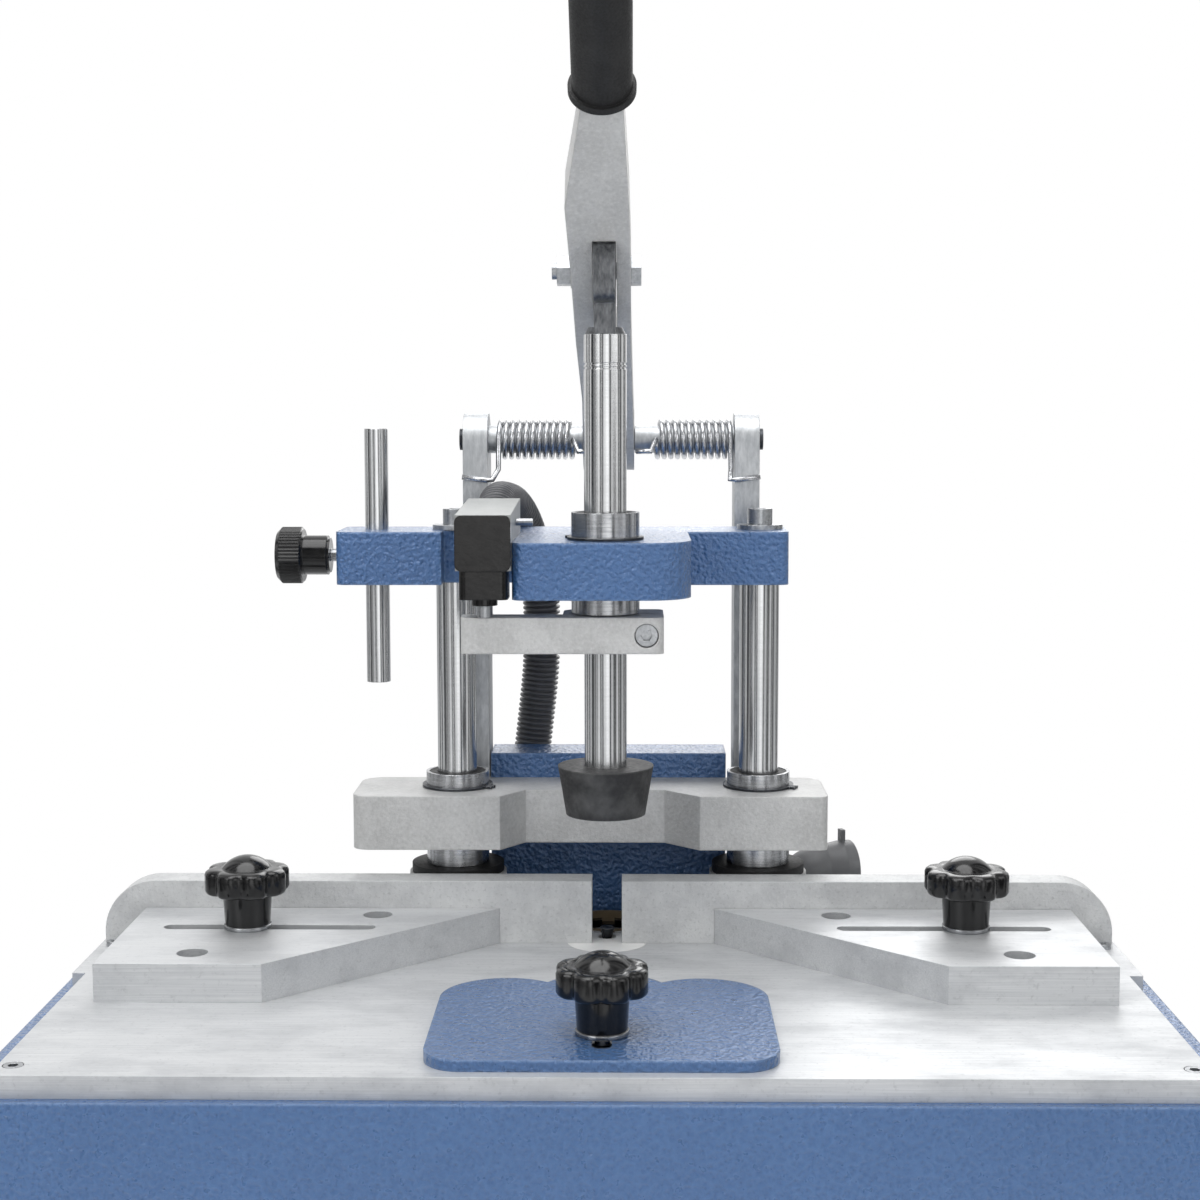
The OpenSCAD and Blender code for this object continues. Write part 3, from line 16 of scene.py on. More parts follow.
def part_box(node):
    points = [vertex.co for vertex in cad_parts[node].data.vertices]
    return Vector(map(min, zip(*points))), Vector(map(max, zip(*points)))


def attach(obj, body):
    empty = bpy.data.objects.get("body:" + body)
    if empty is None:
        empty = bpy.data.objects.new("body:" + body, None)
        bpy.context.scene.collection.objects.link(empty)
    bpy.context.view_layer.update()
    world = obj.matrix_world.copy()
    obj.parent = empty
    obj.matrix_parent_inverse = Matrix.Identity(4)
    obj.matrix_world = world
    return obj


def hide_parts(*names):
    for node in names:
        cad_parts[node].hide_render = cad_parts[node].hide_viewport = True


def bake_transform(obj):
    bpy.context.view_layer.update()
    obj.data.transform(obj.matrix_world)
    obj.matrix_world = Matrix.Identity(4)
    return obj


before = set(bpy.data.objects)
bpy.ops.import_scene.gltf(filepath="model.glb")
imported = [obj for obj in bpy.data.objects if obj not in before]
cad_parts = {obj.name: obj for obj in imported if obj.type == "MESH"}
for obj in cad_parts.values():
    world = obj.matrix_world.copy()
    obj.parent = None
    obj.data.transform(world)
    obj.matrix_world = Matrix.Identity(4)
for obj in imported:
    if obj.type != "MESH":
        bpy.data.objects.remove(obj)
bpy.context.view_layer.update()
table_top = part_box("table_plate")[1][2]
print("nodes:", len(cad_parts), " table top at", round(table_top, 4), "m")

# %% [markdown]
# ## Colours
#
# Paint makers and cameras give colours as sRGB hex codes, but Blender mixes light in linear numbers. One
# function turns a code into a linear colour, and every material below uses it.

# %% One function for colours
def colour(code):
    """Linear colour of an sRGB hex code such as #4a6790."""
    parts = [int(code[i:i + 2], 16) / 255 for i in (1, 3, 5)]
    return tuple(p / 12.92 if p <= 0.04045 else ((p + 0.055) / 1.055) ** 2.4 for p in parts) + (1.0,)

print("mid blue in linear numbers:", [round(c, 3) for c in colour("#4a6790")])

# %% [markdown]
# ## Adding shader nodes
#
# A material is a small graph. Typing the same lines for each node hides what the graph does, so one helper
# adds any node, sets its options and fills its sockets with numbers or with the outputs of other nodes.

# %% One function for shader nodes
def add(tree, kind, sockets=None, out=0, **options):
    """Adds a shader node and returns the output socket asked for."""
    node = tree.nodes.new("ShaderNode" + kind)
    for name, value in options.items():
        setattr(node, name, value)
    for key, value in (sockets or {}).items():
        if isinstance(value, bpy.types.NodeSocket):
            tree.links.new(value, node.inputs[key])
        else:
            node.inputs[key].default_value = value
    return node.outputs[out]

print("node helper ready")

# %% [markdown]
# ## Patterns with real sizes
#
# Every pattern on a surface has a size that could be measured with a rule: the pits of a casting, the lines
# of a grinding wheel, the dimples of hammer paint. The helpers below take that size in millimetres. They
# work in the object's own coordinates, which are metres here, so a pattern stays the same size on every
# piece and moves along when the piece moves.

# %% Patterns
MM = 0.001


def place(tree, stretch):
    """Object coordinates, squeezed so that a pattern runs longer along one axis."""
    spot = add(tree, "TexCoord", out=3)
    return add(tree, "Mapping", {0: spot, 3: stretch})


def grain(tree, size, stretch=(1, 1, 1), detail=3.0, rough=0.55):
    """Soft noise whose lumps are about size millimetres across, from 0 to 1."""
    return add(tree, "TexNoise", {"Vector": place(tree, stretch), "Scale": 1 / (size * MM), "Detail": detail,
                                  "Roughness": rough})


def band(tree, value, low, high, start=0.0, end=1.0):
    """Stretches the part of value between low and high to start and end."""
    return add(tree, "MapRange", {0: value, 1: low, 2: high, 3: start, 4: end})

print("a pattern of 2 mm has the scale", 1 / (2 * MM))

# %% [markdown]
# ## Colours over colours, soft edges and height
#
# A pattern becomes visible in three ways: it mixes two colours, it lifts the surface as a bump, or it marks
# the edges with another colour: wear on some finishes, a painted highlight on the hammer enamel. The Bevel
# node gives a normal that rounds sharp edges. Where it differs from the true normal, there is an edge.

# %% Mixes, edges and height
def mix(tree, share, first, second):
    """Mixes two colours by a share from 0 to 1."""
    return add(tree, "Mix", {0: share, 6: first, 7: second}, out=2, data_type="RGBA")


def edges(tree, radius):
    """Normal with edges rounded by radius millimetres, and how strongly a point lies on such an edge."""
    soft = add(tree, "Bevel", {"Radius": radius * MM}, samples=4)
    true = add(tree, "NewGeometry", out=1)
    facing = add(tree, "VectorMath", {0: soft, 1: true}, out=1, operation="DOT_PRODUCT")
    return soft, band(tree, facing, 0.999, 0.93)


def relief(tree, height, depth, normal, strength=1.0):
    """Turns a height pattern into bumps that are depth millimetres high."""
    return add(tree, "Bump", {"Strength": strength, "Distance": depth * MM, "Height": height, "Normal": normal})

print("edges of 1 mm are", 1 * MM, "m wide")

# %% [markdown]
# ## From patterns to a finish
#
# Each finish starts as an empty node tree with one Principled shader, and ends when its colour, roughness and
# normal are linked to patterns. Values that are the same all over are set on the shader itself. A coat, such
# as the clear top of a thick paint, follows the same bumps as the layer under it.

# %% Starting and ending a finish
made = {}


def start(name):
    """A new material's node tree."""
    made[name] = bpy.data.materials.new(name)
    made[name].use_nodes = True
    return made[name].node_tree


def finish(name, base, rough, normal, metallic=0.0, **fixed):
    """A material whose colour, roughness and normal come from patterns; all other values stand on the shader."""
    tree = base.id_data
    shader = tree.nodes["Principled BSDF"]
    tree.links.new(base, shader.inputs["Base Color"])
    tree.links.new(rough, shader.inputs["Roughness"])
    tree.links.new(normal, shader.inputs["Normal"])
    if "Coat_Weight" in fixed:
        tree.links.new(normal, shader.inputs["Coat Normal"])
    if isinstance(metallic, bpy.types.NodeSocket):
        tree.links.new(metallic, shader.inputs["Metallic"])
    else:
        shader.inputs["Metallic"].default_value = metallic
    for key, value in fixed.items():
        shader.inputs[key.replace("_", " ")].default_value = value
    print("material", name, "made")
    return made[name]


def upright(tree):
    """Lays the fine turning marks round the upright axis, so that they draw reflections out along it."""
    around = add(tree, "Tangent", direction_type="RADIAL", axis="Z")
    tree.links.new(around, tree.nodes["Principled BSDF"].inputs["Tangent"])

# %% [markdown]
# ## Blue hammer enamel
#
# The bridges, the motor bracket and the base are sprayed with hammer enamel. It shrinks as it dries and
# leaves shallow dimples, three or four millimetres wide, between shiny ridges. A Voronoi pattern gives such
# rounded cells, and a little noise on its coordinates makes them uneven. The enamel is thick and glossy, so
# it has a coat, and its edges are painted a paler blue as a highlight.

# %% Hammer enamel
tree = start("hammer_enamel")
dimple_size, shift, wobble_share = 2.6 * MM, 1.5 * MM, 0.0018
soft, edge = edges(tree, 2.2)
warp = grain(tree, 6, detail=2.0)
spot = add(tree, "VectorMath", {0: add(tree, "TexCoord", out=3), 1: (shift, shift, shift)}, operation="ADD")
noise = add(tree, "TexNoise", {"Scale": 160.0, "Vector": spot}, out=1)
wobble = add(tree, "Mix", {0: wobble_share, 4: spot, 5: noise}, out=1, data_type="VECTOR")
cells = add(tree, "TexVoronoi", {"Vector": wobble, "Scale": 1 / dimple_size}, feature="SMOOTH_F1")
dimple = band(tree, cells, 0.1, 0.7)
fine = grain(tree, 1.5, detail=2.0)
height = add(tree, "Math", {0: dimple, 1: fine}, operation="ADD")
base = mix(tree, dimple, colour("#3a6193"), colour("#456c9e"))
base = mix(tree, band(tree, grain(tree, 60), 0.35, 0.65, 0.0, 0.2), base, colour("#345888"))
# Painted highlight: the rounded edges turn a pale blue, standing in for the light caught along them.
base = mix(tree, band(tree, edge, 0.2, 1.0, 0.0, 0.4), base, colour("#93b0d8"))
rough = band(tree, warp, 0.3, 0.7, 0.26, 0.36)
enamel = finish("hammer_enamel", base, rough, relief(tree, height, 0.75, soft), metallic=0.2, Coat_Weight=0.8,
                Coat_Roughness=0.14)

# %% [markdown]
# ## Sand-cast aluminium
#
# The carriage, the lever, the switch arm and the column bosses are sand castings that were blasted and left
# light grey. The sand leaves a pebbled skin under a millimetre across, drawn here a little coarser so that
# it shows, and slow waves from the pattern's wood. The skin scatters light, so the metal looks almost white.

# %% Cast aluminium
tree = start("sand_cast_aluminium")
soft, edge = edges(tree, 1.5)
sand = grain(tree, 2.3, detail=4.0, rough=0.65)
wave = grain(tree, 26, detail=2.0)
spots = band(tree, grain(tree, 4.5, detail=2.0), 0.56, 0.74)
base = mix(tree, band(tree, wave, 0.35, 0.65), colour("#bcbcbb"), colour("#c9c9c8"))
base = mix(tree, band(tree, sand, 0.5, 0.68, 0.0, 0.4), base, colour("#dededd"))
base = mix(tree, band(tree, sand, 0.46, 0.32, 0.0, 0.3), base, colour("#9b9b9b"))
base = mix(tree, band(tree, spots, 0.0, 1.0, 0.0, 0.25), base, colour("#a2a2a2"))
base = mix(tree, band(tree, edge, 0.2, 1.0, 0.0, 0.3), base, colour("#dedddb"))
height = add(tree, "Math", {0: sand, 1: wave}, operation="ADD")
rough = band(tree, sand, 0.3, 0.7, 0.4, 0.58)
aluminium = finish("sand_cast_aluminium", base, rough, relief(tree, height, 0.5, soft), metallic=0.25)

# %% [markdown]
# ## Ground steel
#
# The table and the mitre plates are flat-ground. A grinding wheel leaves straight hairlines along its way,
# a few tenths of a millimetre apart, which stretch the highlights. Hairlines are noise that is squeezed
# across the plate and stretched along it. Use adds darker smears and a few rust-grey freckles.

# %% Ground steel
tree = start("flat_ground_steel")
soft, edge = edges(tree, 0.5)
lines = grain(tree, 0.8, stretch=(0.012, 1, 1), detail=4.0, rough=0.7)
smear = grain(tree, 30, stretch=(0.5, 1, 1), detail=6.0, rough=0.65)
freckle = band(tree, grain(tree, 3.2, detail=5.0, rough=0.7), 0.56, 0.7)
base = mix(tree, band(tree, lines, 0.3, 0.7), colour("#c3c5c7"), colour("#d9dadb"))
base = mix(tree, band(tree, smear, 0.45, 0.68, 0.0, 0.6), base, colour("#adafb2"))
base = mix(tree, band(tree, freckle, 0.0, 1.0, 0.0, 0.3), base, colour("#8d8f92"))
base = mix(tree, band(tree, edge, 0.2, 1.0, 0.0, 0.5), base, colour("#dfe0e2"))
rough = band(tree, smear, 0.3, 0.7, 0.44, 0.56)
ground = finish("flat_ground_steel", base, rough, relief(tree, lines, 0.05, soft, 0.6), metallic=0.55)

# %% [markdown]
# ## Grey cast iron
#
# The two fence halves are iron castings with milled faces. Iron is darker than aluminium and has small
# pores; its unmilled ends stay rough. A stronger grain and dark pores give it that open look.

# %% Cast iron
tree = start("grey_cast_iron")
soft, edge = edges(tree, 0.9)
skin = grain(tree, 2.6, detail=5.0, rough=0.65)
pores = band(tree, grain(tree, 2.0, detail=3.0), 0.56, 0.7)
patch = grain(tree, 18, detail=3.0)
base = mix(tree, band(tree, patch, 0.35, 0.65), colour("#bebfc0"), colour("#cfd0d0"))
base = mix(tree, band(tree, pores, 0.0, 1.0, 0.0, 0.35), base, colour("#868889"))
base = mix(tree, band(tree, skin, 0.52, 0.7, 0.0, 0.5), base, colour("#d9dada"))
base = mix(tree, band(tree, edge, 0.2, 1.0, 0.0, 0.45), base, colour("#dcddde"))
rough = band(tree, skin, 0.3, 0.7, 0.42, 0.6)
iron = finish("grey_cast_iron", base, rough, relief(tree, skin, 0.5, soft), metallic=0.35)

# %% [markdown]
# ## Hard chrome and ground rods
#
# The columns, the clamping shaft and the stop rod are hardened rods with a hard chrome skin. They mirror the
# room, so most of their look comes from what stands around them. The skin itself only has very fine rings
# from centreless grinding, drawn coarser here so that they show, and a faint veil where the bushings ran.
# The rings stretch every reflection along the rod, which is what the Anisotropic value does.

# %% Chromed rods
tree = start("hard_chrome")
soft, edge = edges(tree, 0.5)
rings = grain(tree, 0.9, stretch=(0.05, 0.05, 1), detail=3.0, rough=0.7)
veil = grain(tree, 30, stretch=(1, 1, 0.3), detail=3.0)
base = mix(tree, band(tree, rings, 0.3, 0.7), colour("#cfd0d1"), colour("#d9dadb"))
base = mix(tree, band(tree, veil, 0.5, 0.75, 0.0, 0.2), base, colour("#9b9da0"))
rough = band(tree, veil, 0.3, 0.7, 0.14, 0.21)
chrome = finish("hard_chrome", base, rough, relief(tree, rings, 0.004, soft, 0.3), metallic=1.0, Anisotropic=0.85,
                Anisotropic_Rotation=0.25)
upright(tree)

# %% [markdown]
# ## Turned, plated and drawn steels
#
# The small steel parts differ mostly in how bright and how smooth they are: bearing shells are ground, the
# screws are zinc plated, the spring arms are cold-drawn bar, the springs are bright wire and the lug on the
# shaft is bar under old oil. One recipe with a few values serves them all.

# %% A recipe for small steel parts
def steel(name, dark, light, low, high, line, stretch, radius=0.5, **fixed):
    """Steel between two greys and two roughnesses, with marks of line millimetres."""
    tree = start(name)
    soft, edge = edges(tree, radius)
    marks = grain(tree, line, stretch=stretch, detail=4.0, rough=0.65)
    cloud = grain(tree, 14, detail=3.0)
    base = mix(tree, band(tree, marks, 0.3, 0.7), colour(dark), colour(light))
    base = mix(tree, band(tree, cloud, 0.45, 0.75, 0.0, 0.4), base, colour(dark))
    base = mix(tree, band(tree, edge, 0.2, 1.0, 0.0, 0.35), base, colour("#d0d1d3"))
    rough = band(tree, cloud, 0.3, 0.7, low, high)
    return finish(name, base, rough, relief(tree, marks, 0.04, soft, 0.6), metallic=1.0, **fixed)


bearing = steel("bearing_shell_steel", "#a2a4a7", "#cbccce", 0.2, 0.3, 0.7, (0.05, 0.05, 1), Anisotropic=0.7,
                Anisotropic_Rotation=0.25)
upright(bearing.node_tree)
zinc = steel("zinc_plated_steel", "#9da0a3", "#c3c5c8", 0.24, 0.4, 1.8, (1, 1, 1))
bar = steel("cold_drawn_bar", "#b0b3b6", "#d3d5d7", 0.42, 0.55, 2.6, (1, 1, 0.3), 0.9)
oiled = steel("oiled_lug_steel", "#505255", "#8c8e91", 0.3, 0.46, 2.6, (1, 1, 0.3), 0.9)
wire = steel("bright_spring_wire", "#b2b4b7", "#dcdde0", 0.18, 0.3, 1.2, (1, 1, 1), 0.3)

# %% [markdown]
# ## Blackened steel
#
# The lever's axle, the circlips, the collet nut and the cutter are blackened: oxide on bare steel. It is
# almost black, keeps the metal's shine, and wears off first on corners and where things rub.

# %% Blackened steel
tree = start("black_oxide_steel")
soft, edge = edges(tree, 0.8)
scale = grain(tree, 2.4, detail=5.0, rough=0.65)
rub = band(tree, grain(tree, 22, detail=4.0), 0.52, 0.72)
base = mix(tree, band(tree, scale, 0.3, 0.7), colour("#25272a"), colour("#45474b"))
base = mix(tree, band(tree, rub, 0.0, 1.0, 0.0, 0.55), base, colour("#6f7277"))
base = mix(tree, band(tree, edge, 0.1, 1.0, 0.0, 0.7), base, colour("#a2a5aa"))
rough = band(tree, scale, 0.3, 0.7, 0.3, 0.5)
black_steel = finish("black_oxide_steel", base, rough, relief(tree, scale, 0.08, soft, 0.7), metallic=0.85)

# %% [markdown]
# ## Plastics and rubbers
#
# Phenolic knobs are pressed hot in polished moulds and shine like lacquer. The switch is glass-filled nylon
# with slow waves from its mould. Rubber is soft, matt and greyer where dust sits. Again one recipe does: a
# colour, a second colour for dust and handling, a roughness range and a grain.

# %% A recipe for moulded parts
def moulded(name, main, dust, low, high, size, depth, radius=0.6, share=0.35, insert=None, **fixed):
    """Moulded plastic or rubber with a grain of size millimetres.

    An insert (axis, level, way) makes everything beyond that level along the axis plain steel.
    """
    tree = start(name)
    soft, edge = edges(tree, radius)
    skin = grain(tree, size, detail=3.0)
    film = band(tree, grain(tree, 16, detail=4.0), 0.42, 0.72)
    base = mix(tree, band(tree, film, 0.0, 1.0, 0.0, share), colour(main), colour(dust))
    base = mix(tree, band(tree, edge, 0.2, 1.0, 0.0, share), base, colour(dust))
    rough = band(tree, skin, 0.3, 0.7, low, high)
    if insert:
        axis, edge_at, way = insert
        spot = add(tree, "SeparateXYZ", {0: add(tree, "TexCoord", out=3)}, out=axis)
        metal = band(tree, spot, edge_at - way * 0.1 * MM, edge_at + way * 0.1 * MM)
        base = mix(tree, metal, base, mix(tree, film, colour("#8c8e91"), colour("#b9bbbd")))
        rough = add(tree, "Mix", {0: metal, 2: rough, 3: 0.26})
        fixed["metallic"] = metal
    return finish(name, base, rough, relief(tree, skin, depth, soft, 0.7), **fixed)


print("recipe ready for plastics and rubbers")

# %% [markdown]
# ## Knobs with steel in them
#
# A knob is black phenolic with a steel stud and washer, but it is one piece. Its material changes to steel
# beyond a level along one axis: below the star knobs' hubs, and to the right of the stop rod's knob.

# %% Phenolic knobs
def knob(name, insert):
    return moulded(name, "#080809", "#19191b", 0.12, 0.24, 3.0, 0.02, 1.2, 0.3, insert, Specular_IOR_Level=0.35,
                   Coat_Weight=0.3, Coat_Roughness=0.08)


def level(node, side, axis, inward):
    """Place, in a piece's own coordinates, of a level that lies inward from one side of its box."""
    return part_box(node)[side][axis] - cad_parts[node].matrix_world.translation[axis] + inward


star_black, stop_black = 38.5 * MM, 33.6 * MM
mitre_knob = knob("polished_phenolic", (2, level("star_knob_left", 1, 2, -star_black), -1))
front_knob = knob("polished_phenolic_front", (2, level("star_knob_front", 1, 2, -star_black), -1))
stop_knob = knob("polished_phenolic_stop", (0, level("stop_knob", 0, 0, stop_black), 1))

# %% [markdown]
# ## The other plastics and rubbers
#
# The same recipe with other values: glossy black and dull grey nylon for the switch, soft plastic for the
# hose, rubber that shines less the more it is worn, white acetal for the table insert, and paper phenolic, a
# brown board, for the ring round the cutter. The motor's body is aluminium with a dark anodised skin.

# %% Plastics, rubbers and board
nylon = moulded("black_nylon", "#080707", "#1e1c1a", 0.14, 0.26, 7.0, 0.3, 1.0, Specular_IOR_Level=0.4,
                Coat_Weight=0.15, Coat_Roughness=0.08)
shell = moulded("grey_nylon", "#a5a7a6", "#8f9190", 0.38, 0.52, 1.1, 0.05, 0.8)
hose = moulded("ribbed_hose_plastic", "#4a4b4e", "#6c6d71", 0.28, 0.42, 1.4, 0.05, 0.4)
spout_grey = moulded("grey_spout_plastic", "#5d5e60", "#7a7b7d", 0.36, 0.5, 1.2, 0.06, 0.8)
rubber = moulded("moulded_rubber", "#111112", "#2c2c2d", 0.5, 0.7, 1.2, 0.08, 1.0)
worn_rubber = moulded("worn_rubber", "#29292a", "#636362", 0.5, 0.7, 2.2, 0.2, 1.5, 0.6)
acetal = moulded("white_acetal", "#eeeeec", "#d9d9d6", 0.3, 0.44, 1.2, 0.02, 0.5, 0.3)
paper_board = moulded("paper_phenolic", "#84745c", "#6a5c47", 0.4, 0.55, 1.0, 0.06, 0.4, 0.5)
anodised = moulded("anodised_aluminium", "#3b3d41", "#54575c", 0.26, 0.4, 1.0, 0.02, 0.8, 0.3, metallic=0.8)

# %% [markdown]
# ## Dressing the CAD pieces
#
# A piece from the CAD model keeps its mesh and its place. Dressing it only means putting the finish into
# its material slots.

# %% Finishes for all pieces
finishes = {
    enamel: "base_shell rear_cover top_bridge motor_bracket front_support",
    aluminium: "carriage_bridge switch_arm lever column_bosses",
    ground: "table_plate mitre_plate_left mitre_plate_right",
    iron: "fence_left fence_right",
    chrome: "column_left column_right clamp_shaft stop_rod",
    bearing: "hub_bushing carriage_bushings",
    zinc: "table_screws fence_screws column_cap_screws column_washers switch_screws switch_plunger bracket_screws"
          " arm_screw clevis_bolt",
    bar: "spring_arm_left spring_arm_right axle_sleeves",
    wire: "spring_left spring_right",
    oiled: "shaft_lug",
    black_steel: "hub_circlip carriage_circlips lever_axle collet_nut dovetail_cutter",
    mitre_knob: "star_knob_left star_knob_right",
    front_knob: "star_knob_front",
    stop_knob: "stop_knob",
    nylon: "switch_cover switch_head chip_cup motor_cap",
    spout_grey: "dust_spout",
    shell: "switch_body",
    hose: "conduit",
    rubber: "base_feet stop_rings hub_seals carriage_seals lever_grip",
    worn_rubber: "foot_rubber",
    acetal: "table_insert",
    paper_board: "chip_ring",
    anodised: "motor_body",
}
dressed = 0
for material, names in finishes.items():
    for name in names.split():
        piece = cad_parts[name]
        for slot in piece.material_slots:
            slot.material = material
        dressed += 1
print("dressed pieces:", dressed, "of", len(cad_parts))

# %% [markdown]
# ## Tubes along a path
#
# A spring is a round wire along a helix, and a ribbed hose is a tube whose radius goes up and down along its
# way. Both are rings of points set square to a path. To keep the rings from twisting, each one takes over
# the side vector of the ring before it.

# %% Rings along a path
def tube(name, path, radii, sides, material):
    """Closed mesh tube through the points of path, with its own radius at each point."""
    side = Vector((0, 0, 1))
    points, faces = [], []
    last = len(path) - 1
    for i, here in enumerate(path):
        along = (path[min(i + 1, last)] - path[max(i - 1, 0)]).normalized()
        side = (side - along * side.dot(along)).normalized()
        up = along.cross(side)
        for k in range(sides):
            turn = 2 * math.pi * k / sides
            points.append(here + (side * math.cos(turn) + up * math.sin(turn)) * radii[i])
    for i in range(last):
        for k in range(sides):
            a, b = i * sides + k, i * sides + (k + 1) % sides
            faces.append((a, b, b + sides, a + sides))
    faces.append(tuple(range(sides - 1, -1, -1)))
    faces.append(tuple(last * sides + k for k in range(sides)))
    mesh = bpy.data.meshes.new(name)
    mesh.from_pydata(points, [], faces)
    mesh.polygons.foreach_set("use_smooth", [True] * len(faces))
    mesh.materials.append(material)
    piece = bpy.data.objects.new(name, mesh)
    bpy.context.collection.objects.link(piece)
    return piece

# %% [markdown]
# ## The two return springs
#
# Each spring is one bright wire, 3.4 mm thick: a straight leg hooked behind its arm, eleven turns round the
# axle, and a hook on the lever's hub. When the lever comes down, its end of the coil turns with the lever
# and the arm's end stays.

# %% Spring wire
axle = Vector((0, 0.142, table_top + 0.310))
wire_d, coil_d, pitch, turns = 3.4 * MM, 26.5 * MM, 4.4 * MM, 11
rear_face, hub_r, clearance = 125 * MM, 20 * MM, 0.3 * MM
leg_drop, leg_rise, leg_reach = 26 * MM, 2 * MM, 16 * MM
hook_reach, hook_turn = 13 * MM, math.radians(200)
print("wire", wire_d, "m, coil", coil_d, "m, length", round(turns * pitch, 4), "m")


def spring_path(gap, steps):
    """Middle line of the left spring from its leg, gap before the coil, to its hook; the coil starts at x = 0."""
    coil_r, length = (coil_d - wire_d) / 2, turns * pitch
    front = rear_face - wire_d / 2 - clearance - axle.y
    ends = [(-gap - leg_reach, front, leg_rise - leg_drop), (-gap, front, -leg_drop),
            (-gap + wire_d, front, -leg_drop), (0, front + wire_d, 2 * wire_d - leg_drop), (0, -coil_r, -coil_r / 2)]
    coil = []
    for i in range(turns * steps + 1):
        angle = math.pi - 2 * math.pi * i / steps
        coil.append((i * pitch / steps, coil_r * math.cos(angle), coil_r * math.sin(angle)))
    hook = hub_r + wire_d / 2 + clearance
    hook_y, hook_z = hook * math.cos(hook_turn), hook * math.sin(hook_turn)
    tail = [(length + wire_d / 2, -coil_r - wire_d, -wire_d), (length + wire_d, hook_y, hook_z),
            (length + hook_reach, hook_y, hook_z)]
    return [Vector(p) for p in ends + coil + tail]

# %% Two springs
def spring(name, start_x, gap, flip, node):
    """A spring whose coil starts at start_x and runs to the right, or to the left where flip is -1."""
    path = [axle + Vector((start_x + flip * p.x, p.y, p.z)) for p in spring_path(gap, 24)]
    piece = tube(name, path, [wire_d / 2] * len(path), 10, wire)
    if flip < 0:
        piece.data.flip_normals()
    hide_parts(node)
    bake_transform(piece)
    print(name, "has", len(path), "rings")


spring("return_spring_left", -71 * MM, 7.3 * MM, 1, "spring_left")
spring("return_spring_right", 79.5 * MM, 2.8 * MM, -1, "spring_right")

# %% [markdown]
# ## The ribbed hose
#
# A hose of black plastic guards the switch's wires over the bridge and down to the table. Its ribs are
# rounded rings 3.4 mm apart. The path is a smooth curve through a few measured points, and the radius
# follows a flattened wave along it, with eight rings of points to each rib.

# %% Curves through points
def smooth(points, steps):
    """Curve through all points, with steps pieces between two of them."""
    line = []
    for i in range(len(points) - 1):
        a, b = points[max(i - 1, 0)], points[i]
        c, d = points[i + 1], points[min(i + 2, len(points) - 1)]
        for k in range(steps):
            t = k / steps
            line.append((2 * b + t * (c - a) + t * t * (2 * a - 5 * b + 4 * c - d)
                         + t ** 3 * (3 * b - a - 3 * c + d)) / 2)
    return line + [points[-1]]


def walk(line, step):
    """Points a fixed step apart along a line."""
    found, left = [line[0]], step
    for a, b in zip(line, line[1:]):
        length, done = (b - a).length, 0.0
        while length - done >= left:
            done += left
            found.append(a + (b - a) * done / length)
            left = step
        left -= length - done
    return found

# %% Hose
route = [(-69.5, 65.9, 262.6), (-69.5, 74, 262.6), (-69.5, 84, 266.8), (-69, 98, 271), (-67, 118, 271),
         (-62, 138, 267), (-56, 156, 254), (-50, 168, 232), (-46, 174, 205), (-46, 176, 160), (-51, 177, 110),
         (-57, 177, 60), (-60, 177, 30), (-60, 177, 4)]
rib_pitch, hose_r, rib_depth, rib_rings = 3.4 * MM, 12.45 * MM, 2.3 * MM, 8
steepness, crest = 2.4, 0.35


def rib(i):
    """Radius at ring i: close to the full radius on a crest and to the smaller one in a groove."""
    swing = math.sin(2 * math.pi * i / rib_rings) + crest
    return hose_r - rib_depth * (0.5 - 0.5 * math.tanh(steepness * swing))


points = [Vector((x * MM, y * MM, table_top + z * MM)) for x, y, z in route]
line = walk(smooth(points, 12), rib_pitch / rib_rings)
ribbed = tube("ribbed_hose", line, [rib(i) for i in range(len(line))], 28, hose)
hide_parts("conduit")
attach(ribbed, "frame")
print("hose length", round(len(line) * rib_pitch / rib_rings, 3), "m")

# %% [markdown]
# ## The star knobs
#
# A pressed star knob has eight lobes with rounded edges and a high round crown, which the CAD model shows
# plainer. Its outline can be turned like a lathe piece: rings of points, each at one height and radius, from
# the stud through the washer and the tapering hub to the crown. Each ring also has a share, from 0 to 1, of
# the grooves between the lobes. A cosine raised to a power keeps the grooves narrow and the lobes wide.

# %% Turned pieces with grooves
lobes, groove, narrow, sharp_from = 8, 3.2 * MM, 2.4, math.radians(32)


def turned(name, foot, rings, sides, material):
    """Closed mesh round an upright axis, from rings of (height, radius, share of the grooves)."""
    points, faces = [], []
    for height, radius, share in rings:
        for k in range(sides):
            turn = 2 * math.pi * k / sides
            reach = radius - groove * share * (0.5 + 0.5 * math.cos(lobes * turn)) ** narrow
            points.append(foot + Vector((reach * math.cos(turn), reach * math.sin(turn), height)))
    for i in range(len(rings) - 1):
        for k in range(sides):
            a, b = i * sides + k, i * sides + (k + 1) % sides
            faces.append((a, b, b + sides, a + sides))
    top = len(points)
    points.append(foot + Vector((0, 0, rings[-1][0])))
    faces += [(top - sides + k, top - sides + (k + 1) % sides, top) for k in range(sides)]
    faces.append(tuple(range(sides - 1, -1, -1)))
    mesh = bpy.data.meshes.new(name)
    mesh.from_pydata(points, [], faces)
    mesh.polygons.foreach_set("use_smooth", [True] * len(faces))
    mesh.set_sharp_from_angle(angle=sharp_from)
    mesh.materials.append(material)
    piece = bpy.data.objects.new(name, mesh)
    bpy.context.collection.objects.link(piece)
    return piece

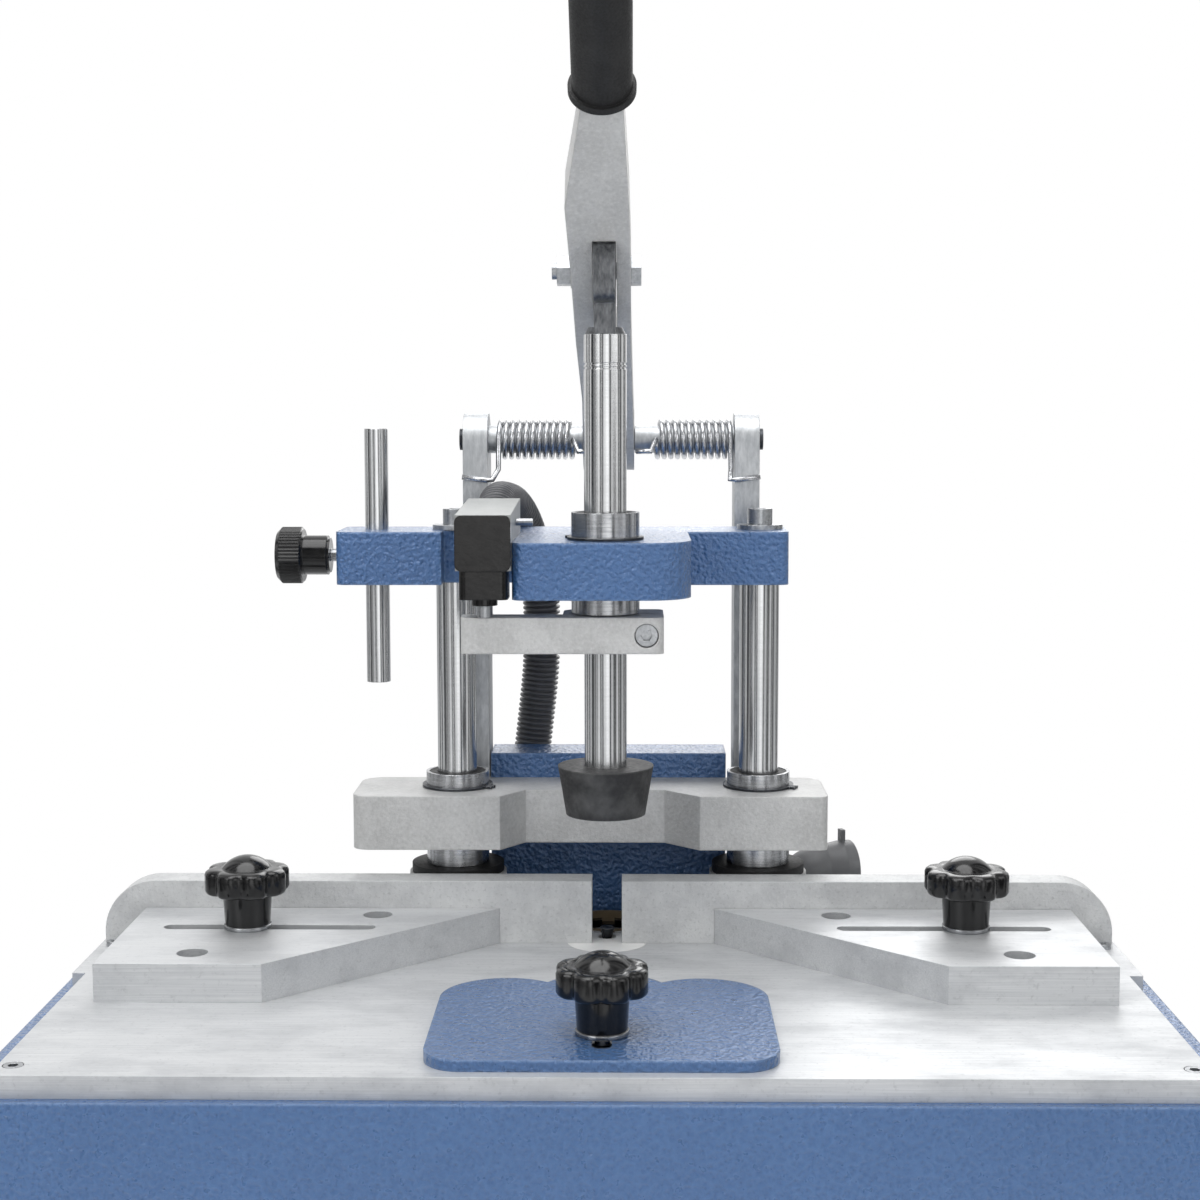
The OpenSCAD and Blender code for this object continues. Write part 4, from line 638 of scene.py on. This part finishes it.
# %% Outline of a star knob
washer = [(0, 13.8, 0), (0.3, 14.1, 0), (2.2, 14.1, 0), (2.5, 13.8, 0)]
hub = [(2.5, 13, 0), (2.9, 13.4, 0), (21.2, 14.5, 0)]
head = [(21.3, 20.5, 0.7), (21.7, 22.8, 0.95), (22.6, 24.2, 1), (24.2, 25, 1), (33.6, 25, 1), (35.2, 24.4, 1),
        (36.2, 23, 0.95), (36.7, 21, 0.8), (36.8, 18.5, 0.4), (36.7, 16.2, 0.1)]
crown_r, crown_h, rim_z, crown_steps = 14.8, 7.2, 36.6, 14
ball_r = (crown_h ** 2 + crown_r ** 2) / (2 * crown_h)
ball_half = math.asin(crown_r / ball_r)
crown = []
for i in range(crown_steps):
    angle = ball_half * (1 - i / crown_steps)
    crown.append((rim_z + crown_h - ball_r * (1 - math.cos(angle)), ball_r * math.sin(angle), 0))
crown.append((rim_z + crown_h, 0.2, 0))
print("star knob", rim_z + crown_h, "mm high over its plate")

# %% Star knobs
stud_r, cad_knob_h, knob_sides = 4, 41, 112


def star_knob(name, node, body, material):
    low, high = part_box(node)
    seat = high[2] - cad_knob_h * MM
    foot = Vector(((low[0] + high[0]) / 2, (low[1] + high[1]) / 2, seat))
    stud = [((low[2] - seat) / MM, stud_r, 0), (0, stud_r, 0)]
    rings = [(z * MM, r * MM, share) for z, r, share in stud + washer + hub + head + crown]
    piece = turned(name, foot, rings, knob_sides, material)
    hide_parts(node)
    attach(piece, body)
    print(name, "stands on", body)


star_knob("mitre_knob_left", "star_knob_left", "knob_left", mitre_knob)
star_knob("mitre_knob_right", "star_knob_right", "knob_right", mitre_knob)
star_knob("support_knob", "star_knob_front", "knob_front", front_knob)

# %% [markdown]
# ## Black cards beside the machine
#
# The photograph was taken in a white studio with black cards round the machine, which draw the dark streaks
# down the chromed rods. Noise that only depends on the angle round the machine gives such upright bands. Both
# the floor and the world use it, and only in reflections, so that a streak runs down a rod without a break.

# %% Bands round the machine
def cards(tree, spot):
    """Colour of the room in the direction of spot: white, with dark upright bands except behind."""
    x, y = (add(tree, "SeparateXYZ", {0: spot}, out=axis) for axis in (0, 1))
    turn = add(tree, "Math", {0: x, 1: y}, operation="ARCTAN2")
    round_way = add(tree, "CombineXYZ", {0: turn})
    bands = add(tree, "TexNoise", {"Vector": round_way, "Scale": 2.9, "Detail": 1.5})
    behind = band(tree, add(tree, "Math", {0: turn}, operation="ABSOLUTE"), 0.8, 0.5)
    pale = add(tree, "Math", {0: band(tree, bands, 0.46, 0.53), 1: behind}, operation="MAXIMUM")
    return mix(tree, pale, colour("#38393b"), colour("#f8f8f8"))

print("cards ready for the floor and the world")

# %% [markdown]
# ## Floor
#
# The machine stands on a plain pale floor that takes its soft shadow. Away from the machine the floor turns
# into the same white as the room behind it, so that no horizon is seen.

# %% Floor
tree = start("pale_floor")
shader = tree.nodes["Principled BSDF"]
base = mix(tree, band(tree, grain(tree, 400, detail=2.0), 0.3, 0.7), colour("#f2f2f2"), colour("#f7f7f7"))
spot = add(tree, "TexCoord", out=3)
away = add(tree, "VectorMath", {0: spot}, out=1, operation="LENGTH")
ray = tree.nodes.new("ShaderNodeLightPath").outputs
mirrored = add(tree, "Math", {0: band(tree, away, 0.5, 0.8), 1: ray["Is Glossy Ray"]}, operation="MULTIPLY")
base = mix(tree, mirrored, base, cards(tree, spot))
tree.links.new(base, shader.inputs["Base Color"])
shader.inputs["Roughness"].default_value = 0.8
white = add(tree, "Math", {0: band(tree, away, 0.45, 0.75), 1: ray["Is Camera Ray"]}, operation="MULTIPLY")
glow = add(tree, "Emission", {"Color": colour("#ffffff"), "Strength": 1.0})
both = add(tree, "MixShader", {0: white, 1: shader.outputs[0], 2: glow})
tree.links.new(both, tree.nodes["Material Output"].inputs["Surface"])

reach = 6.0
corners = [(-reach, -reach, 0), (reach, -reach, 0), (reach, reach, 0), (-reach, reach, 0)]
mesh = bpy.data.meshes.new("floor")
mesh.from_pydata(corners, [], [(0, 1, 2, 3)])
mesh.materials.append(made["pale_floor"])
floor = bpy.data.objects.new("floor", mesh)
bpy.context.collection.objects.link(floor)
print("floor", 2 * reach, "m wide")

# %% [markdown]
# ## World and lamps
#
# The camera sees a white world. Glossy rays see the same white room with the black cards in it. Large soft
# lamps stand above, in front, at the sides and behind.

# %% World
world = bpy.data.worlds.new("studio")
bpy.context.scene.world = world
world.use_nodes = True
tree = world.node_tree
tree.nodes.clear()
ray = tree.nodes.new("ShaderNodeLightPath").outputs
seen = mix(tree, ray["Is Glossy Ray"], colour("#d8dadc"), cards(tree, add(tree, "TexCoord", out=0)))
seen = mix(tree, ray["Is Camera Ray"], seen, colour("#ffffff"))
shows = add(tree, "Math", {0: ray["Is Camera Ray"], 1: ray["Is Glossy Ray"]}, operation="MAXIMUM")
shows = add(tree, "Math", {0: shows, 1: ray["Is Transmission Ray"]}, operation="MAXIMUM")
light = add(tree, "Background", {0: seen, 1: band(tree, shows, 0.0, 1.0, 0.62, 1.0)})
tree.links.new(light, tree.nodes.new("ShaderNodeOutputWorld").inputs["Surface"])
print("world", world.name, "has", len(tree.nodes), "nodes")

# %% Lamps
def lamp(name, spot, aim, size, power):
    data = bpy.data.lights.new(name, "AREA")
    data.shape = "DISK"
    data.size = size
    data.energy = power
    piece = bpy.data.objects.new(name, data)
    piece.location = spot
    piece.rotation_euler = (Vector(aim) - Vector(spot)).to_track_quat("-Z", "Y").to_euler()
    bpy.context.collection.objects.link(piece)
    print("lamp", name, power, "W")


lamp("over_head", (-0.25, -0.35, 2.3), (0, 0.05, 0.35), 2.0, 35.5)
lamp("front_left", (-1.5, -1.7, 1.5), (0, 0, 0.35), 1.2, 11)
lamp("front_right", (1.7, -1.3, 1.2), (0, 0, 0.35), 1.2, 7)
lamp("low_front", (0.2, -2.3, 0.3), (0, 0, 0.6), 1.5, 4)
lamp("behind", (0.3, 1.9, 1.5), (0, 0, 0.45), 1.4, 12)

# %% [markdown]
# ## Camera
#
# The photograph looks along the machine from the front, from a little above. The place, tilt and lens were
# found by matching the corners of plates and rods in the picture with their places in the model.

# %% Camera
place_found, lens = (0.01551, -1.16153, 0.58234), 59.59
yaw, pitch_down, roll = math.radians(0.925), math.radians(5.609), math.radians(-0.089)
scene = bpy.context.scene
scene.view_settings.view_transform = "Standard"
eye = bpy.data.cameras.new("camera")
eye.sensor_width = 36
eye.lens = lens
eye.clip_end = 50
camera = bpy.data.objects.new("camera", eye)
turned_by = (Matrix.Rotation(yaw, 4, "Z") @ Matrix.Rotation(math.pi / 2 - pitch_down, 4, "X")
             @ Matrix.Rotation(roll, 4, "Z"))
camera.matrix_world = Matrix.Translation(place_found) @ turned_by
scene.collection.objects.link(camera)
scene.camera = camera
print("camera at", [round(v, 3) for v in camera.location])
